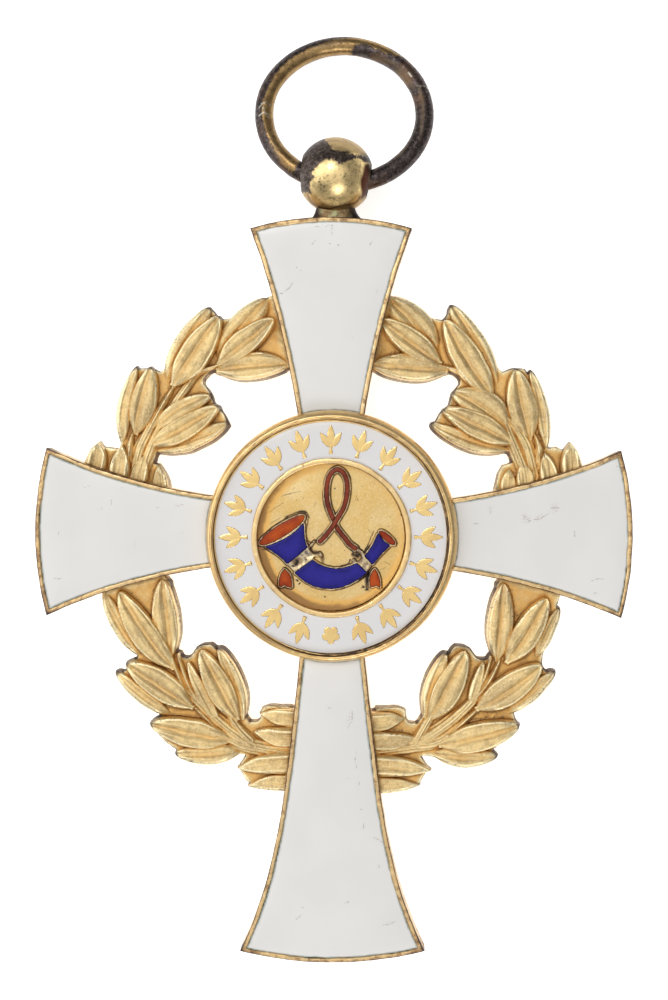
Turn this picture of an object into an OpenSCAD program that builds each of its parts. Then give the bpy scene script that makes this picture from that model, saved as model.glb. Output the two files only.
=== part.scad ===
// Order medal: an enamelled cross with a laurel wreath, a round medallion and a suspension ring.
// It lies face up: +Z out of its face, +Y towards the ring, z = 0 on the flat back boss.
// The origin is the centre of that boss, on the axis of the medallion. Sizes are millimetres.

/* [Arms] */
// Reach of the left arm from the centre of the medallion
left_reach = 20.8; // [20.4:0.1:21.2]
// Reach of the right arm
right_reach = 21.2; // [20.8:0.1:21.6]
// Reach of the top arm
top_reach = 22.5; // [22.3:0.1:22.6]
// Reach of the bottom arm
bottom_reach = 29.9; // [29.4:0.1:30.4]
// Half width of the side arms where they leave the collar
side_root = 2.55; // [2.4:0.05:2.7]
// Half width of the top arm where it leaves the collar
top_root = 2.35; // [2.2:0.05:2.5]
// Half width of the bottom arm where it leaves the collar
bottom_root = 2.3; // [2.2:0.05:2.5]
// Half width of a side arm at its corners
side_half = 5.9; // [5.6:0.05:6.1]
// Half width of the top arm at its corners
top_half = 5.7; // [5.5:0.05:5.9]
// Half width of the bottom arm at its corners
bottom_half = 6.5; // [6.2:0.05:6.8]
// How far the curved end of an arm stands out past its corners
end_bulge = 0.8; // [0.6:0.05:1.0]
// How far the left arm sits above the centre line
left_lift = 0.38; // [0:0.02:0.5]
// How far the right arm sits above the centre line
right_lift = 0.16; // [0:0.02:0.5]
// How far the bottom arm sits to the right of the centre line
bottom_shift = 0.08; // [0:0.02:0.2]
// Width of the gilt rim round each arm
rim_w = 0.32; // [0.25:0.01:0.4]
// Thickness of the arms
arm_t = 2.2; // [2.0:0.1:2.4]
// Depth of the cells that hold the arm enamel
cell_depth = 0.8; // [0.6:0.05:1.0]

/* [Medallion] */
// Radius of the collar round the medallion
collar_r = 8.64; // [8.5:0.02:8.8]
// Radius of the collar's foot, level with the arms
collar_foot_r = 8.84; // [8.8:0.02:8.9]
// How far the foot sits off the collar's centre, up and to the right
foot_shift = 0.08; // [0:0.01:0.1]
// Thickness of the collar's wall
collar_wall = 0.32; // [0.28:0.02:0.36]
// Height that the collar stands above the arms
collar_rise = 0.9; // [0.8:0.05:1.1]
// Radius of the flat boss on the back
boss_r = 7.9; // [7.5:0.1:8.2]
// Height of the boss behind the arms
boss_h = 1.6; // [1.5:0.05:1.7]
// Outer radius of the inner rim
inner_rim_r = 5.54; // [5.5:0.01:5.6]
// Width of the inner rim
inner_rim_w = 0.4; // [0.35:0.01:0.45]
// Number of ornaments round the band, with the rosette as one of them
ornament_count = 20; // [16:2:20]

/* [Suspension] */
// Radius of the ball
ball_r = 2.69; // [2.6:0.01:2.7]
// Distance from the medallion's centre up to the ball's centre
ball_y = 25.55; // [25.4:0.05:25.7]
// Sideways offset of the ball
ball_x = 0.29; // [0:0.01:0.4]
// Radius of the hole that the ring runs through
bore_r = 1.12; // [1.08:0.01:1.2]
// Slope of the hole in the plane of the medal, in degrees
bore_slope = 6; // [4:0.5:8]
// Radius of the ring's wire
wire_r = 0.667; // [0.6:0.01:0.7]
// Half width of the ring's centre line
ring_a = 5.72; // [5.6:0.02:5.8]
// Half height of the ring's centre line
ring_b = 5.21; // [5.1:0.01:5.3]

/* [Wreath] */
// Thickness of the plate that joins the leaves
ground_t = 0.8; // [0.6:0.05:1.0]
// Height of each layer of leaves over the one below
layer_step = 0.3; // [0.2:0.02:0.34]

/* [Hidden] */
$fn = 96;

gap = 0.03;
cut = 1;
gilt = "goldenrod";
white = "whitesmoke";
blue = "midnightblue";
orange = "orangered";
brown = "sienna";

// Heights: the arms stand on the boss, and the ball's centre is level with their middle.
arm_z = boss_h;
arm_top = arm_z + arm_t;
collar_top = arm_top + collar_rise;
ball_z = arm_z + arm_t / 2;

// Outlines: an arm flares from the collar outwards, and its root is buried inside the collar.
// Flares: the share that is straight, and the power of the rest.
arm_root = 8.6;
buried_root = 6.5;
side_flare = [0.55, 2.3];
top_flare = [0.66, 2.4];
bottom_flare = [0.52, 4];
side_steps = 10;
arc_steps = 10;

// Medallion heights: the disc sits in a pocket of the body, and its field and band lie in it.
pocket_z = 3.0;
field_z = 3.75;
rim_top = 4.4;
band_top = 4.25;
lip_w = 0.1;
disc_r = collar_r - collar_wall - 0.1;
field_r = inner_rim_r - inner_rim_w;

// Suspension: the hole lies a little below the ball's centre, and the ring is slid along it.
bore_drop = 0.26;
bore_y = ball_y - bore_drop;
bore_half = 2.45;
ring_slide = 0.61;
wire_sag = 0.3;
neck_r = 1.42;
neck_foot_r = 1.68;
neck_foot_h = 0.3;

// The ring's centre line is four arcs: the small ones at its sides, the large ones above and below.
ring_side_r = 4.8;
ring_side_x = ring_a - ring_side_r;
ring_flat_y = (ring_side_x * ring_side_x - pow(ring_b - ring_side_r, 2)) / (2 * (ring_b - ring_side_r));
ring_flat_r = ring_b + ring_flat_y;
ring_join = atan2(ring_flat_y, ring_side_x);
// The arcs end a fraction of a degree short of each other, inside the beads that join them.
joint_gap = 0.2;
joint_rise = 0.004;
ring_up = sqrt(ring_flat_r * ring_flat_r - ring_slide * ring_slide) - ring_flat_y - wire_sag;
ring_far = ring_slide * sin(bore_slope) + ring_up * cos(bore_slope)
  - ring_flat_y * cos(bore_slope) + ring_flat_r;
floor_gap = 0.01;
ring_tilt = asin((ball_z - wire_r - floor_gap) / ring_far);

// Wreath: one quarter above and one below a side arm, each mirrored to the other side.
// Columns: base x, base y, tip x, tip y, half width, bend, layer.
UPPER_LEAVES = [
  [-8.4, 12.0, -4.6, 16.9, 1.10, 0.0, 0],
  [-8.3, 11.9, -4.1, 15.4, 0.84, 0.0, 2],
  [-8.4, 11.6, -3.2, 12.2, 0.90, 0.0, 1],
  [-11.7, 10.9, -8.6, 16.4, 0.95, -0.3, 0],
  [-11.4, 10.7, -7.8, 15.5, 1.00, 0.0, 2],
  [-12.6, 7.8, -8.6, 10.3, 0.75, 0.2, 1],
  [-12.6, 7.0, -8.0, 9.2, 0.75, 0.1, 2],
  [-12.6, 6.3, -7.0, 7.8, 0.90, 0.2, 0],
  [-14.9, 5.8, -13.9, 12.1, 0.85, -0.2, 0],
  [-13.8, 6.6, -12.7, 12.0, 0.80, 0.0, 1],
  [-16.3, 3.9, -16.4, 6.8, 0.85, 0.0, 1],
  [-14.2, 3.6, -14.8, 6.5, 0.85, 0.0, 2],
  [-13.4, 3.3, -13.2, 5.9, 0.60, 0.0, 1],
  [-12.3, 2.9, -12.3, 5.1, 0.60, 0.0, 0]
];
LOWER_LEAVES = [
  [-11.2, -9.0, -11.9, -2.9, 0.85, 0.0, 1],
  [-11.4, -8.9, -15.0, -3.6, 1.00, 0.0, 2],
  [-13.4, -8.9, -16.3, -3.8, 0.80, 0.2, 0],
  [-9.7, -11.8, -14.6, -9.0, 1.05, 0.0, 2],
  [-10.2, -12.6, -15.3, -9.5, 1.00, -0.1, 0],
  [-7.0, -14.4, -12.9, -13.2, 1.00, 0.0, 2],
  [-6.0, -15.2, -11.1, -15.6, 0.80, 0.2, 0],
  [-6.8, -12.8, -9.2, -8.0, 1.05, 0.0, 2],
  [-6.1, -13.2, -8.0, -7.8, 0.90, 0.2, 1],
  [-7.0, -14.0, -10.1, -8.9, 0.45, 0.0, 1],
  [-2.6, -12.6, -5.1, -12.4, 0.70, 0.0, 0],
  [-2.6, -13.9, -5.5, -13.8, 0.80, 0.0, 1],
  [-2.8, -15.4, -6.6, -16.6, 0.85, 0.0, 1],
  [-2.9, -16.8, -5.9, -17.7, 0.60, 0.0, 0]
];
// Outlines of the plate under the leaves, counter-clockwise.
UPPER_GROUND = [
  [-17.4, 4.0], [-11.4, 2.6], [-11.9, 5.0], [-13.0, 5.3], [-12.4, 6.1], [-7.1, 7.7],
  [-7.7, 8.9], [-8.3, 9.3], [-8.5, 10.2], [-9.2, 11.0], [-8.6, 11.7], [-7.9, 11.9],
  [-3.0, 11.9], [-2.4, 12.4], [-3.2, 17.3], [-4.7, 17.0], [-7.7, 15.2], [-8.6, 16.3],
  [-12.0, 11.6], [-12.8, 12.0], [-14.0, 11.9], [-14.9, 6.2], [-16.2, 6.4], [-17.2, 5.0]
];
LOWER_GROUND = [
  [-3.0, -17.9], [-2.4, -12.1], [-4.9, -12.0], [-5.0, -13.1], [-5.9, -13.2], [-7.4, -9.4],
  [-8.3, -7.6], [-9.4, -7.7], [-10.0, -8.6], [-11.3, -8.6], [-11.3, -2.2], [-16.1, -3.4],
  [-15.2, -6.6], [-13.4, -9.0], [-15.0, -9.7], [-13.6, -11.4], [-11.0, -12.9], [-12.9, -13.4],
  [-11.4, -15.0], [-9.0, -16.2], [-5.9, -15.4], [-6.6, -16.4], [-5.8, -17.7]
];
// The lower quarters sit a little outwards, more so on the right, whose shift is mirrored.
left_wreath_shift = [-0.1, 0];
right_wreath_shift = [-0.35, -0.1];
leaf_floor = arm_z + 0.1;
leaf_base = leaf_floor + ground_t + 0.15;

// Horn: plan outlines of its enamels, counter-clockwise, over the field of the medallion.
BELL = [[-4.5, -0.62], [-3.15, -1.87], [-1.66, -0.82], [-1.8, 0.1], [-1.84, 0.9]];
TAIL = [[2.38, -1.33], [2.95, -1.9], [3.45, -1.2], [4.05, -0.68], [3.3, 0.0], [2.9, -0.7]];
LEFT_TASSEL = [[-3.65, -3.35], [-3.2, -3.2], [-2.72, -3.45], [-2.78, -2.75], [-3.15, -2.2], [-3.58, -2.7]];
RIGHT_TASSEL = [[2.72, -3.5], [3.12, -3.25], [3.55, -3.4], [3.5, -2.75], [3.1, -2.2], [2.75, -2.7]];
body_out = [-0.04, -0.6, 3.08];
body_in = [0.22, -0.07, 2.28];
body_left = -2.05;
body_right = 2.0;
mouth_at = [-3.36, 0.48];
mouth_size = [1.72, 0.42];
mouth_turn = 32.5;
piece_at = [3.92, -0.06];
piece_size = [0.62, 0.2];
piece_turn = -40;
horn_z = field_z + 0.35;
horn_cell = 0.22;
horn_rim = 0.12;
horn_proud = 0.02;
cord_half = 0.17;
cord_top = [0.41, 3.0];
cord_loop = [0.72, 1.78];
cord_cross = [0.3, 1.1];
LEFT_LEG = [[0.62, 1.75], [0.3, 1.1], [-0.2, 0.35], [-0.85, -0.4]];
RIGHT_LEG = [[0.02, 1.6], [0.32, 0.75], [0.95, -0.1], [1.7, -0.85]];

function unit(v) = v / norm(v);
function outward(a, b) = let (d = unit(b - a)) [d[1], -d[0]];

// A closed counter-clockwise outline, moved out by d at every edge, or in where d is negative.
function grown(p, d) = [
  for (i = [0 : len(p) - 1])
    let (
      n = len(p),
      n1 = outward(p[(i + n - 1) % n], p[i]),
      n2 = outward(p[i], p[(i + 1) % n])
    )
      p[i] + d * (n1 + n2) / (1 + n1 * n2)
];

// Half width of an arm at the share t of the way from its root to its corners.
function arm_half(t, root, tip, flare) =
  root + (tip - root) * (flare[0] * t + (1 - flare[0]) * pow(t, flare[1]));

// Outline of an arm that points along +Y.
function arm_points(reach, root, tip, flare) =
  let (
    span = reach - end_bulge - arm_root,
    arc_r = (tip * tip + end_bulge * end_bulge) / (2 * end_bulge),
    half = asin(tip / arc_r),
    right = [
      for (i = [0 : side_steps])
        let (t = i / side_steps) [arm_half(t, root, tip, flare), arm_root + t * span]
    ],
    arc = [
      for (i = [1 : arc_steps - 1])
        let (a = half * (1 - 2 * i / arc_steps)) [arc_r * sin(a), reach - arc_r + arc_r * cos(a)]
    ],
    left = [
      for (i = [side_steps : -1 : 0])
        let (t = i / side_steps) [-arm_half(t, root, tip, flare), arm_root + t * span]
    ]
  )
    concat([[root, buried_root]], right, arc, left, [[-root, buried_root]]);

top_outline = arm_points(top_reach, top_root, top_half, top_flare);
bottom_outline = arm_points(bottom_reach, bottom_root, bottom_half, bottom_flare);
left_outline = arm_points(left_reach, side_root, side_half, side_flare);
right_outline = arm_points(right_reach, side_root, side_half, side_flare);

// Outline of a leaf: pointed at both ends, widest a little past its middle.
function leaf_points(base, tip, half, bend, steps = 8) =
  let (
    d = unit(tip - base),
    side = [d[1], -d[0]],
    blunt = 0.06,
    mid = [
      for (i = [0 : steps])
        let (t = i / steps) base + t * (tip - base) + side * bend * 4 * t * (1 - t)
    ],
    wide = [
      for (i = [0 : steps])
        let (t = i / steps) blunt + (half - blunt) * pow(sin(180 * pow(t, 0.9)), 0.8)
    ]
  )
    concat(
      [for (i = [0 : steps]) mid[i] + side * wide[i]],
      [for (i = [steps : -1 : 0]) mid[i] - side * wide[i]]
    );

function ellipse_points(at, size, turn, steps = 20) = [
  for (i = [0 : steps - 1])
    let (a = 360 * i / steps, x = size[0] * cos(a), y = size[1] * sin(a))
      at + [x * cos(turn) - y * sin(turn), x * sin(turn) + y * cos(turn)]
];

// A strip of even width along a short line of points.
function strip_points(line, half) =
  let (
    last = len(line) - 1,
    dir = [for (i = [0 : last]) unit(line[min(i + 1, last)] - line[max(i - 1, 0)])]
  )
    concat(
      [for (i = [0 : last]) line[i] + half * [dir[i][1], -dir[i][0]]],
      [for (i = [last : -1 : 0]) line[i] - half * [dir[i][1], -dir[i][0]]]
    );

// The cord's loop: a drop, round at the top and drawn to a point at the crossing.
function drop_points(grow, steps = 24) = [
  for (i = [0 : steps - 1])
    let (
      a = 360 * i / steps,
      pinch = sin(a) < 0 ? 1 - 0.75 * pow(-sin(a), 1.6) : 1
    )
      cord_top + [(cord_loop[0] + grow) * cos(a) * pinch, (cord_loop[1] + grow) * sin(a)]
];

// Outline of the horn's body between its two bands: an outer and an inner arc.
function arc_y(c, x) = c[1] - sqrt(c[2] * c[2] - pow(x - c[0], 2));
function body_points(steps = 10) = concat(
  [
    for (i = [0 : steps])
      let (x = body_left - 0.45 + i / steps * (body_right - body_left + 0.85)) [x, arc_y(body_out, x)]
  ],
  [
    for (i = [steps : -1 : 0])
      let (x = body_left + 0.7 + i / steps * (body_right - body_left - 0.95)) [x, arc_y(body_in, x)]
  ]
);

module prism(points, z0, z1) {
  translate([0, 0, z0])
    linear_extrude(z1 - z0)
      polygon(points);
}

// Puts an outline drawn along +Y at the place of one of the arms.
module at_left() {
  translate([0, left_lift, 0])
    rotate(90)
      children();
}

module at_bottom() {
  translate([bottom_shift, 0, 0])
    rotate(180)
      children();
}

module at_right() {
  translate([0, right_lift, 0])
    rotate(-90)
      children();
}

// An arm's cell starts under the collar's foot, and its enamel at the foot itself.
module arm_cell(outline) {
  difference() {
    prism(grown(outline, -rim_w), arm_top - cell_depth, arm_top + cut);
    cylinder(r = collar_foot_r - 4 * foot_shift, h = arm_top + 2 * cut);
  }
}

module clear_of_collar() {
  color(white)
    difference() {
      children();
      translate([foot_shift, foot_shift, 0])
        cylinder(r = collar_foot_r + gap, h = arm_top + 2 * cut);
    }
}

module arm_enamel(outline) {
  prism(grown(outline, -rim_w - gap), arm_top - cell_depth + gap, arm_top - gap);
}

module wreath_quarter(leaves, ground) {
  prism(ground, leaf_floor, leaf_floor + ground_t);
  for (i = [0 : len(leaves) - 1]) {
    leaf = leaves[i];
    outline = leaf_points([leaf[0], leaf[1]], [leaf[2], leaf[3]], leaf[4], leaf[5]);
    prism(outline, leaf_floor, leaf_base + leaf[6] * layer_step + i * 0.01);
  }
}

module wreath_half(lower_shift) {
  wreath_quarter(UPPER_LEAVES, UPPER_GROUND);
  translate(lower_shift)
    wreath_quarter(LOWER_LEAVES, LOWER_GROUND);
}

module collar() {
  difference() {
    union() {
      translate([0, 0, arm_z])
        cylinder(r = collar_r, h = collar_top - arm_z);
      translate([foot_shift, foot_shift, arm_z])
        cylinder(r = collar_foot_r, h = arm_t + 0.15);
    }
    translate([0, 0, pocket_z])
      cylinder(r = collar_r - collar_wall, h = collar_top);
  }
}

// Moves a shape drawn along X at the origin onto the sloping hole.
module on_bore() {
  translate([ball_x, bore_y, ball_z])
    rotate(-bore_slope)
      children();
}

module ball() {
  difference() {
    union() {
      intersection() {
        translate([ball_x, ball_y, ball_z])
          sphere(r = ball_r);
        on_bore()
          cube([2 * bore_half, 4 * ball_r, 4 * ball_r], center = true);
      }
      translate([ball_x, top_reach - 0.6, ball_z])
        rotate([-90, 0, 0])
          cylinder(r = neck_r, h = ball_y - top_reach - 0.4);
      translate([ball_x, top_reach - 0.5, ball_z])
        rotate([-90, 0, 0])
          cylinder(r = neck_foot_r, h = neck_foot_h + 0.5);
    }
    on_bore()
      rotate([0, 90, 0])
        cylinder(r = bore_r, h = 4 * ball_r, center = true);
  }
}

module arms() {
  prism(top_outline, arm_z, arm_top);
  at_bottom()
    prism(bottom_outline, arm_z, arm_top);
  at_left()
    prism(left_outline, arm_z, arm_top);
  at_right()
    prism(right_outline, arm_z, arm_top);
}

module arm_cells() {
  arm_cell(top_outline);
  at_bottom()
    arm_cell(bottom_outline);
  at_left()
    arm_cell(left_outline);
  at_right()
    arm_cell(right_outline);
}

// The cells are cut through the leaves and the neck too, where they reach over the arms.
module cross_body() {
  color(gilt)
    union() {
      difference() {
        union() {
          arms();
          wreath_half(left_wreath_shift);
          mirror([1, 0, 0])
            wreath_half(right_wreath_shift);
          ball();
        }
        arm_cells();
        translate([0, 0, pocket_z])
          cylinder(r = collar_r - collar_wall, h = collar_top);
      }
      cylinder(r = boss_r, h = boss_h + 0.4);
      collar();
    }
}

module enamel_top() {
  clear_of_collar()
    arm_enamel(top_outline);
}

module enamel_bottom() {
  clear_of_collar()
    at_bottom()
      arm_enamel(bottom_outline);
}

module enamel_left() {
  clear_of_collar()
    at_left()
      arm_enamel(left_outline);
}

module enamel_right() {
  clear_of_collar()
    at_right()
      arm_enamel(right_outline);
}

// One sprig of the band, drawn at the origin and pointing along +Y.
module sprig(grow, z0, z1) {
  prism(grown(leaf_points([0, -0.35], [0, 0.9], 0.2, 0), grow), z0, z1);
  for (s = [-1, 1])
    prism(grown(leaf_points([0.1 * s, -0.5], [0.6 * s, 0.45], 0.17, 0), grow), z0, z1);
  prism(grown([[-0.09, -0.92], [0.09, -0.92], [0.09, -0.2], [-0.09, -0.2]], grow), z0, z1);
}

module rosette(grow, z0, z1) {
  for (i = [0 : 4])
    rotate(90 + i * 72)
      translate([0.36, 0, z0])
        cylinder(r = 0.26 + grow, h = z1 - z0);
  translate([0, 0, z0])
    cylinder(r = 0.3 + grow, h = z1 - z0);
}

module band_ornaments(grow, z0, z1) {
  band_mid = (inner_rim_r + disc_r - lip_w) / 2;
  for (i = [1 : ornament_count - 1])
    rotate(180 + i * 360 / ornament_count)
      translate([0, band_mid, 0])
        sprig(grow, z0, z1);
  translate([0, -band_mid, 0])
    rosette(grow, z0, z1);
}

// The horn's parts as solids between two heights, each grown by the same amount.
module horn_bell(grow, z0, z1) {
  prism(grown(BELL, grow), z0, z1);
}

module horn_body(grow, z0, z1) {
  prism(grown(body_points(), grow), z0, z1);
}

module horn_tail(grow, z0, z1) {
  prism(grown(TAIL, grow), z0, z1);
}

module horn_mouth(grow, z0, z1) {
  prism(grown(ellipse_points(mouth_at, mouth_size, mouth_turn), grow), z0, z1);
}

module horn_mouthpiece(grow, z0, z1) {
  prism(grown(ellipse_points(piece_at, piece_size, piece_turn), grow), z0, z1);
}

module cord(grow, z0, z1) {
  difference() {
    prism(drop_points(grow), z0, z1);
    prism(drop_points(-2 * cord_half - grow), z0 - cut, z1 + cut);
  }
  prism(strip_points(LEFT_LEG, cord_half + grow), z0, z1);
  prism(strip_points(RIGHT_LEG, cord_half + grow), z0, z1);
}

module horn_parts(grow, z0, z1) {
  horn_bell(grow, z0, z1);
  horn_body(grow, z0, z1);
  horn_tail(grow, z0, z1);
  horn_mouth(grow, z0, z1);
  horn_mouthpiece(grow, z0, z1);
  cord(grow, z0, z1);
  prism(grown(LEFT_TASSEL, grow), z0, z1);
  prism(grown(RIGHT_TASSEL, grow), z0, z1);
}

// The two bands of the horn, which join its blue pieces.
module horn_bands(z0, z1) {
  prism([[-3.15, -1.8], [-2.5, -2.5], [-0.9, -1.6], [-1.7, -0.8]], z0, z1);
  prism([[1.75, -1.8], [2.45, -2.5], [2.95, -1.85], [2.3, -1.3]], z0, z1);
}

module medallion_disc() {
  color(gilt)
    difference() {
      union() {
        rotate_extrude()
          polygon([
            [0, pocket_z + gap], [disc_r, pocket_z + gap], [disc_r, band_top + 0.05],
            [disc_r - lip_w, band_top + 0.05], [disc_r - lip_w, field_z], [inner_rim_r, field_z],
            [inner_rim_r, rim_top], [field_r, rim_top], [field_r, field_z], [0, field_z]
          ]);
        band_ornaments(0, field_z - 0.1, band_top + 0.03);
        intersection() {
          union() {
            horn_parts(horn_rim, field_z - 0.1, horn_z);
            horn_bands(field_z - 0.1, horn_z);
          }
          cylinder(r = field_r + 0.1, h = 2 * rim_top);
        }
      }
      horn_parts(gap, horn_z - horn_cell, horn_z + cut);
    }
}

module band_enamel() {
  color(white)
    difference() {
      translate([0, 0, field_z + gap])
        cylinder(r = disc_r - lip_w - gap, h = band_top - field_z - gap);
      cylinder(r = inner_rim_r + gap, h = 2 * rim_top);
      band_ornaments(gap, field_z, band_top + cut);
    }
}

module horn_bell_enamel() {
  color(blue)
    horn_bell(0, horn_z - horn_cell + gap, horn_z + horn_proud);
}

module horn_body_enamel() {
  color(blue)
    horn_body(0, horn_z - horn_cell + gap, horn_z + horn_proud);
}

module horn_tail_enamel() {
  color(blue)
    horn_tail(0, horn_z - horn_cell + gap, horn_z + horn_proud);
}

module horn_mouth_enamel() {
  color(orange)
    horn_mouth(0, horn_z - horn_cell + gap, horn_z + horn_proud);
}

module horn_mouthpiece_enamel() {
  color(orange)
    horn_mouthpiece(0, horn_z - horn_cell + gap, horn_z + horn_proud);
}

module cord_enamel() {
  color(brown)
    cord(0, horn_z - horn_cell + gap, horn_z + horn_proud);
}

module tassel_left_enamel() {
  color(orange)
    prism(LEFT_TASSEL, horn_z - horn_cell + gap, horn_z + horn_proud);
}

module tassel_right_enamel() {
  color(orange)
    prism(RIGHT_TASSEL, horn_z - horn_cell + gap, horn_z + horn_proud);
}

module ring_arc(centre, radius, from, sweep) {
  translate(centre)
    rotate_extrude(angle = sweep - joint_gap, start = from + joint_gap / 2)
      translate([radius, 0])
        circle(r = wire_r);
}

// A bead hardly larger than the wire joins the ends of two arcs.
module ring_joint(side, end) {
  translate([side * (ring_side_x + ring_side_r * cos(ring_join)), end * ring_side_r * sin(ring_join), 0])
    sphere(r = wire_r + joint_rise);
}

// The ring runs through the hole, slid along it, and is tilted until its far end meets the floor.
module suspension_ring() {
  color("dimgray")
    on_bore()
      rotate([-ring_tilt, 0, 0])
        rotate(bore_slope)
          translate([ring_slide, ring_up, 0]) {
            ring_arc([ring_side_x, 0, 0], ring_side_r, -ring_join, 2 * ring_join);
            ring_arc([-ring_side_x, 0, 0], ring_side_r, 180 - ring_join, 2 * ring_join);
            ring_arc([0, -ring_flat_y, 0], ring_flat_r, ring_join, 180 - 2 * ring_join);
            ring_arc([0, ring_flat_y, 0], ring_flat_r, 180 + ring_join, 180 - 2 * ring_join);
            for (side = [-1, 1]) {
              ring_joint(side, 1);
              ring_joint(side, -1);
            }
          }
}

cross_body();
enamel_top();
enamel_bottom();
enamel_left();
enamel_right();
medallion_disc();
band_enamel();
horn_bell_enamel();
horn_body_enamel();
horn_tail_enamel();
horn_mouth_enamel();
horn_mouthpiece_enamel();
cord_enamel();
tassel_left_enamel();
tassel_right_enamel();
suspension_ring();
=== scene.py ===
"""The order medal's looks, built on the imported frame. Sizes are in millimetres, in the part's own axes."""

import math

import bpy
import numpy as np
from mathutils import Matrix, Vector
from mathutils.geometry import tessellate_polygon


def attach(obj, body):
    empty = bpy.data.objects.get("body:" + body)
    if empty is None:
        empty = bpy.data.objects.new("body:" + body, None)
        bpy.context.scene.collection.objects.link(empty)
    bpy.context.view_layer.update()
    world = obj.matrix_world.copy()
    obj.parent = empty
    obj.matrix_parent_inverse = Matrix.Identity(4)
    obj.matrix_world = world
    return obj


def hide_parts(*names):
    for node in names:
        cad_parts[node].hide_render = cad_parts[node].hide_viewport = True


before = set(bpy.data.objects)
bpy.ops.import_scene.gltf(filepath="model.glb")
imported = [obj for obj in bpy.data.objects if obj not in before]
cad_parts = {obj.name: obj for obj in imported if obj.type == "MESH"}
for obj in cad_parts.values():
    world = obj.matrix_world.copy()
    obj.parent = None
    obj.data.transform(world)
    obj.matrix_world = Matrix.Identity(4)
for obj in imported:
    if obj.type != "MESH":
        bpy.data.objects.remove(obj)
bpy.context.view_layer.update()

MM = 0.001
TURN = 2 * math.pi

# Heights and radii of the frame that the pieces follow.
ARM_Z, ARM_TOP = 1.6, 3.8
CELL_FLOOR = 3.0
FOOT_R, FOOT_SHIFT = 8.84, 0.08
BOSS_R = 7.9
FIELD_Z, FIELD_R = 3.75, 5.14
INNER_RIM_R = 5.54
BAND_R = 8.1
LIP_R = 8.22
BAND_MID = (INNER_RIM_R + BAND_R) / 2 + 0.02
WREATH_BACK = 1.7
BALL = np.array([0.29, 25.55, 2.7])
BALL_R = 2.69
BORE = np.array([0.29, 25.29, 2.7])
BORE_R, BORE_HALF, BORE_SLOPE = 1.12, 2.45, math.radians(6)
WIRE_R = 0.667

# Arms: reach, half width at the root and at the corners, flare, quarter turns, sideways shift.
END_BULGE = 0.8
ARM_ROOT, BURIED_ROOT = 8.6, 6.5
ARMS = {
    "top": (22.5, 2.35, 5.7, (0.66, 2.4), 0, (0, 0)),
    "left": (20.8, 2.55, 5.9, (0.55, 2.3), 1, (0, 0.38)),
    "bottom": (29.9, 2.3, 6.5, (0.52, 4), 2, (0.08, 0)),
    "right": (21.2, 2.55, 5.9, (0.55, 2.3), 3, (0, 0.16)),
}

# Leaves: base x and y, tip x and y, half width to the left and to the right of the rib, bend to the left
# and layer.
UPPER_LEFT = [
    (-8.18, 12.45, -4.57, 16.85, 0.99, 1.18, 0.13, 0),
    (-8.13, 12.09, -4.08, 15.40, 0.93, 0.79, -0.03, 2),
    (-8.18, 11.73, -3.13, 12.17, 0.97, 0.89, 0.14, 1),
    (-11.78, 10.75, -8.66, 16.23, 0.76, 0.95, 0.24, 0),
    (-11.32, 10.65, -7.99, 15.57, 0.90, 1.20, 0.03, 2),
    (-12.71, 7.40, -8.64, 9.98, 0.51, 0.92, 0.42, 1),
    (-12.92, 6.42, -8.02, 9.20, 0.78, 0.89, -0.07, 2),
    (-12.71, 6.09, -7.39, 7.99, 0.72, 0.64, -0.25, 0),
    (-14.87, 6.42, -13.87, 12.04, 0.45, 0.60, 0.35, 0),
    (-13.95, 7.20, -12.83, 11.98, 0.70, 1.10, 0.10, 1),
]
UPPER_LEFT_STUBS = [
    (-16.78, 4.78, -16.49, 6.65, 0.82, 0.78, -0.04, 1),
    (-15.08, 4.16, -14.82, 6.42, 0.72, 0.78, 0.03, 2),
    (-13.79, 3.75, -13.17, 5.81, 0.57, 0.72, 0.08, 1),
    (-12.14, 3.33, -12.25, 5.09, 0.53, 0.53, 0.00, 0),
]
UPPER_RIGHT = [
    (7.56, 13.01, 3.97, 16.90, 1.20, 1.15, -0.11, 0),
    (7.76, 12.22, 3.53, 15.34, 0.80, 0.99, 0.12, 2),
    (8.25, 11.72, 2.89, 12.12, 0.82, 1.05, 0.00, 1),
    (11.75, 10.54, 8.45, 16.40, 1.00, 0.67, -0.29, 0),
    (11.41, 9.85, 8.04, 15.29, 0.96, 1.08, 0.16, 2),
    (12.69, 7.39, 8.62, 10.20, 0.97, 1.30, -0.25, 1),
    (12.88, 6.55, 7.94, 8.97, 0.86, 0.94, -0.03, 2),
    (12.59, 6.11, 7.07, 8.00, 0.71, 0.50, 0.21, 0),
    (15.25, 6.21, 14.13, 11.77, 0.50, 0.46, -0.20, 0),
    (14.07, 6.80, 13.03, 11.74, 1.03, 1.03, 0.04, 1),
]
UPPER_RIGHT_STUBS = [
    (17.02, 4.53, 16.92, 6.60, 0.80, 0.72, 0.02, 1),
    (15.44, 4.04, 15.08, 5.88, 0.66, 0.60, -0.03, 2),
    (13.77, 3.55, 13.57, 5.32, 0.64, 0.68, 0.00, 1),
    (12.54, 3.25, 12.59, 4.83, 0.58, 0.56, 0.02, 0),
]
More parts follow.
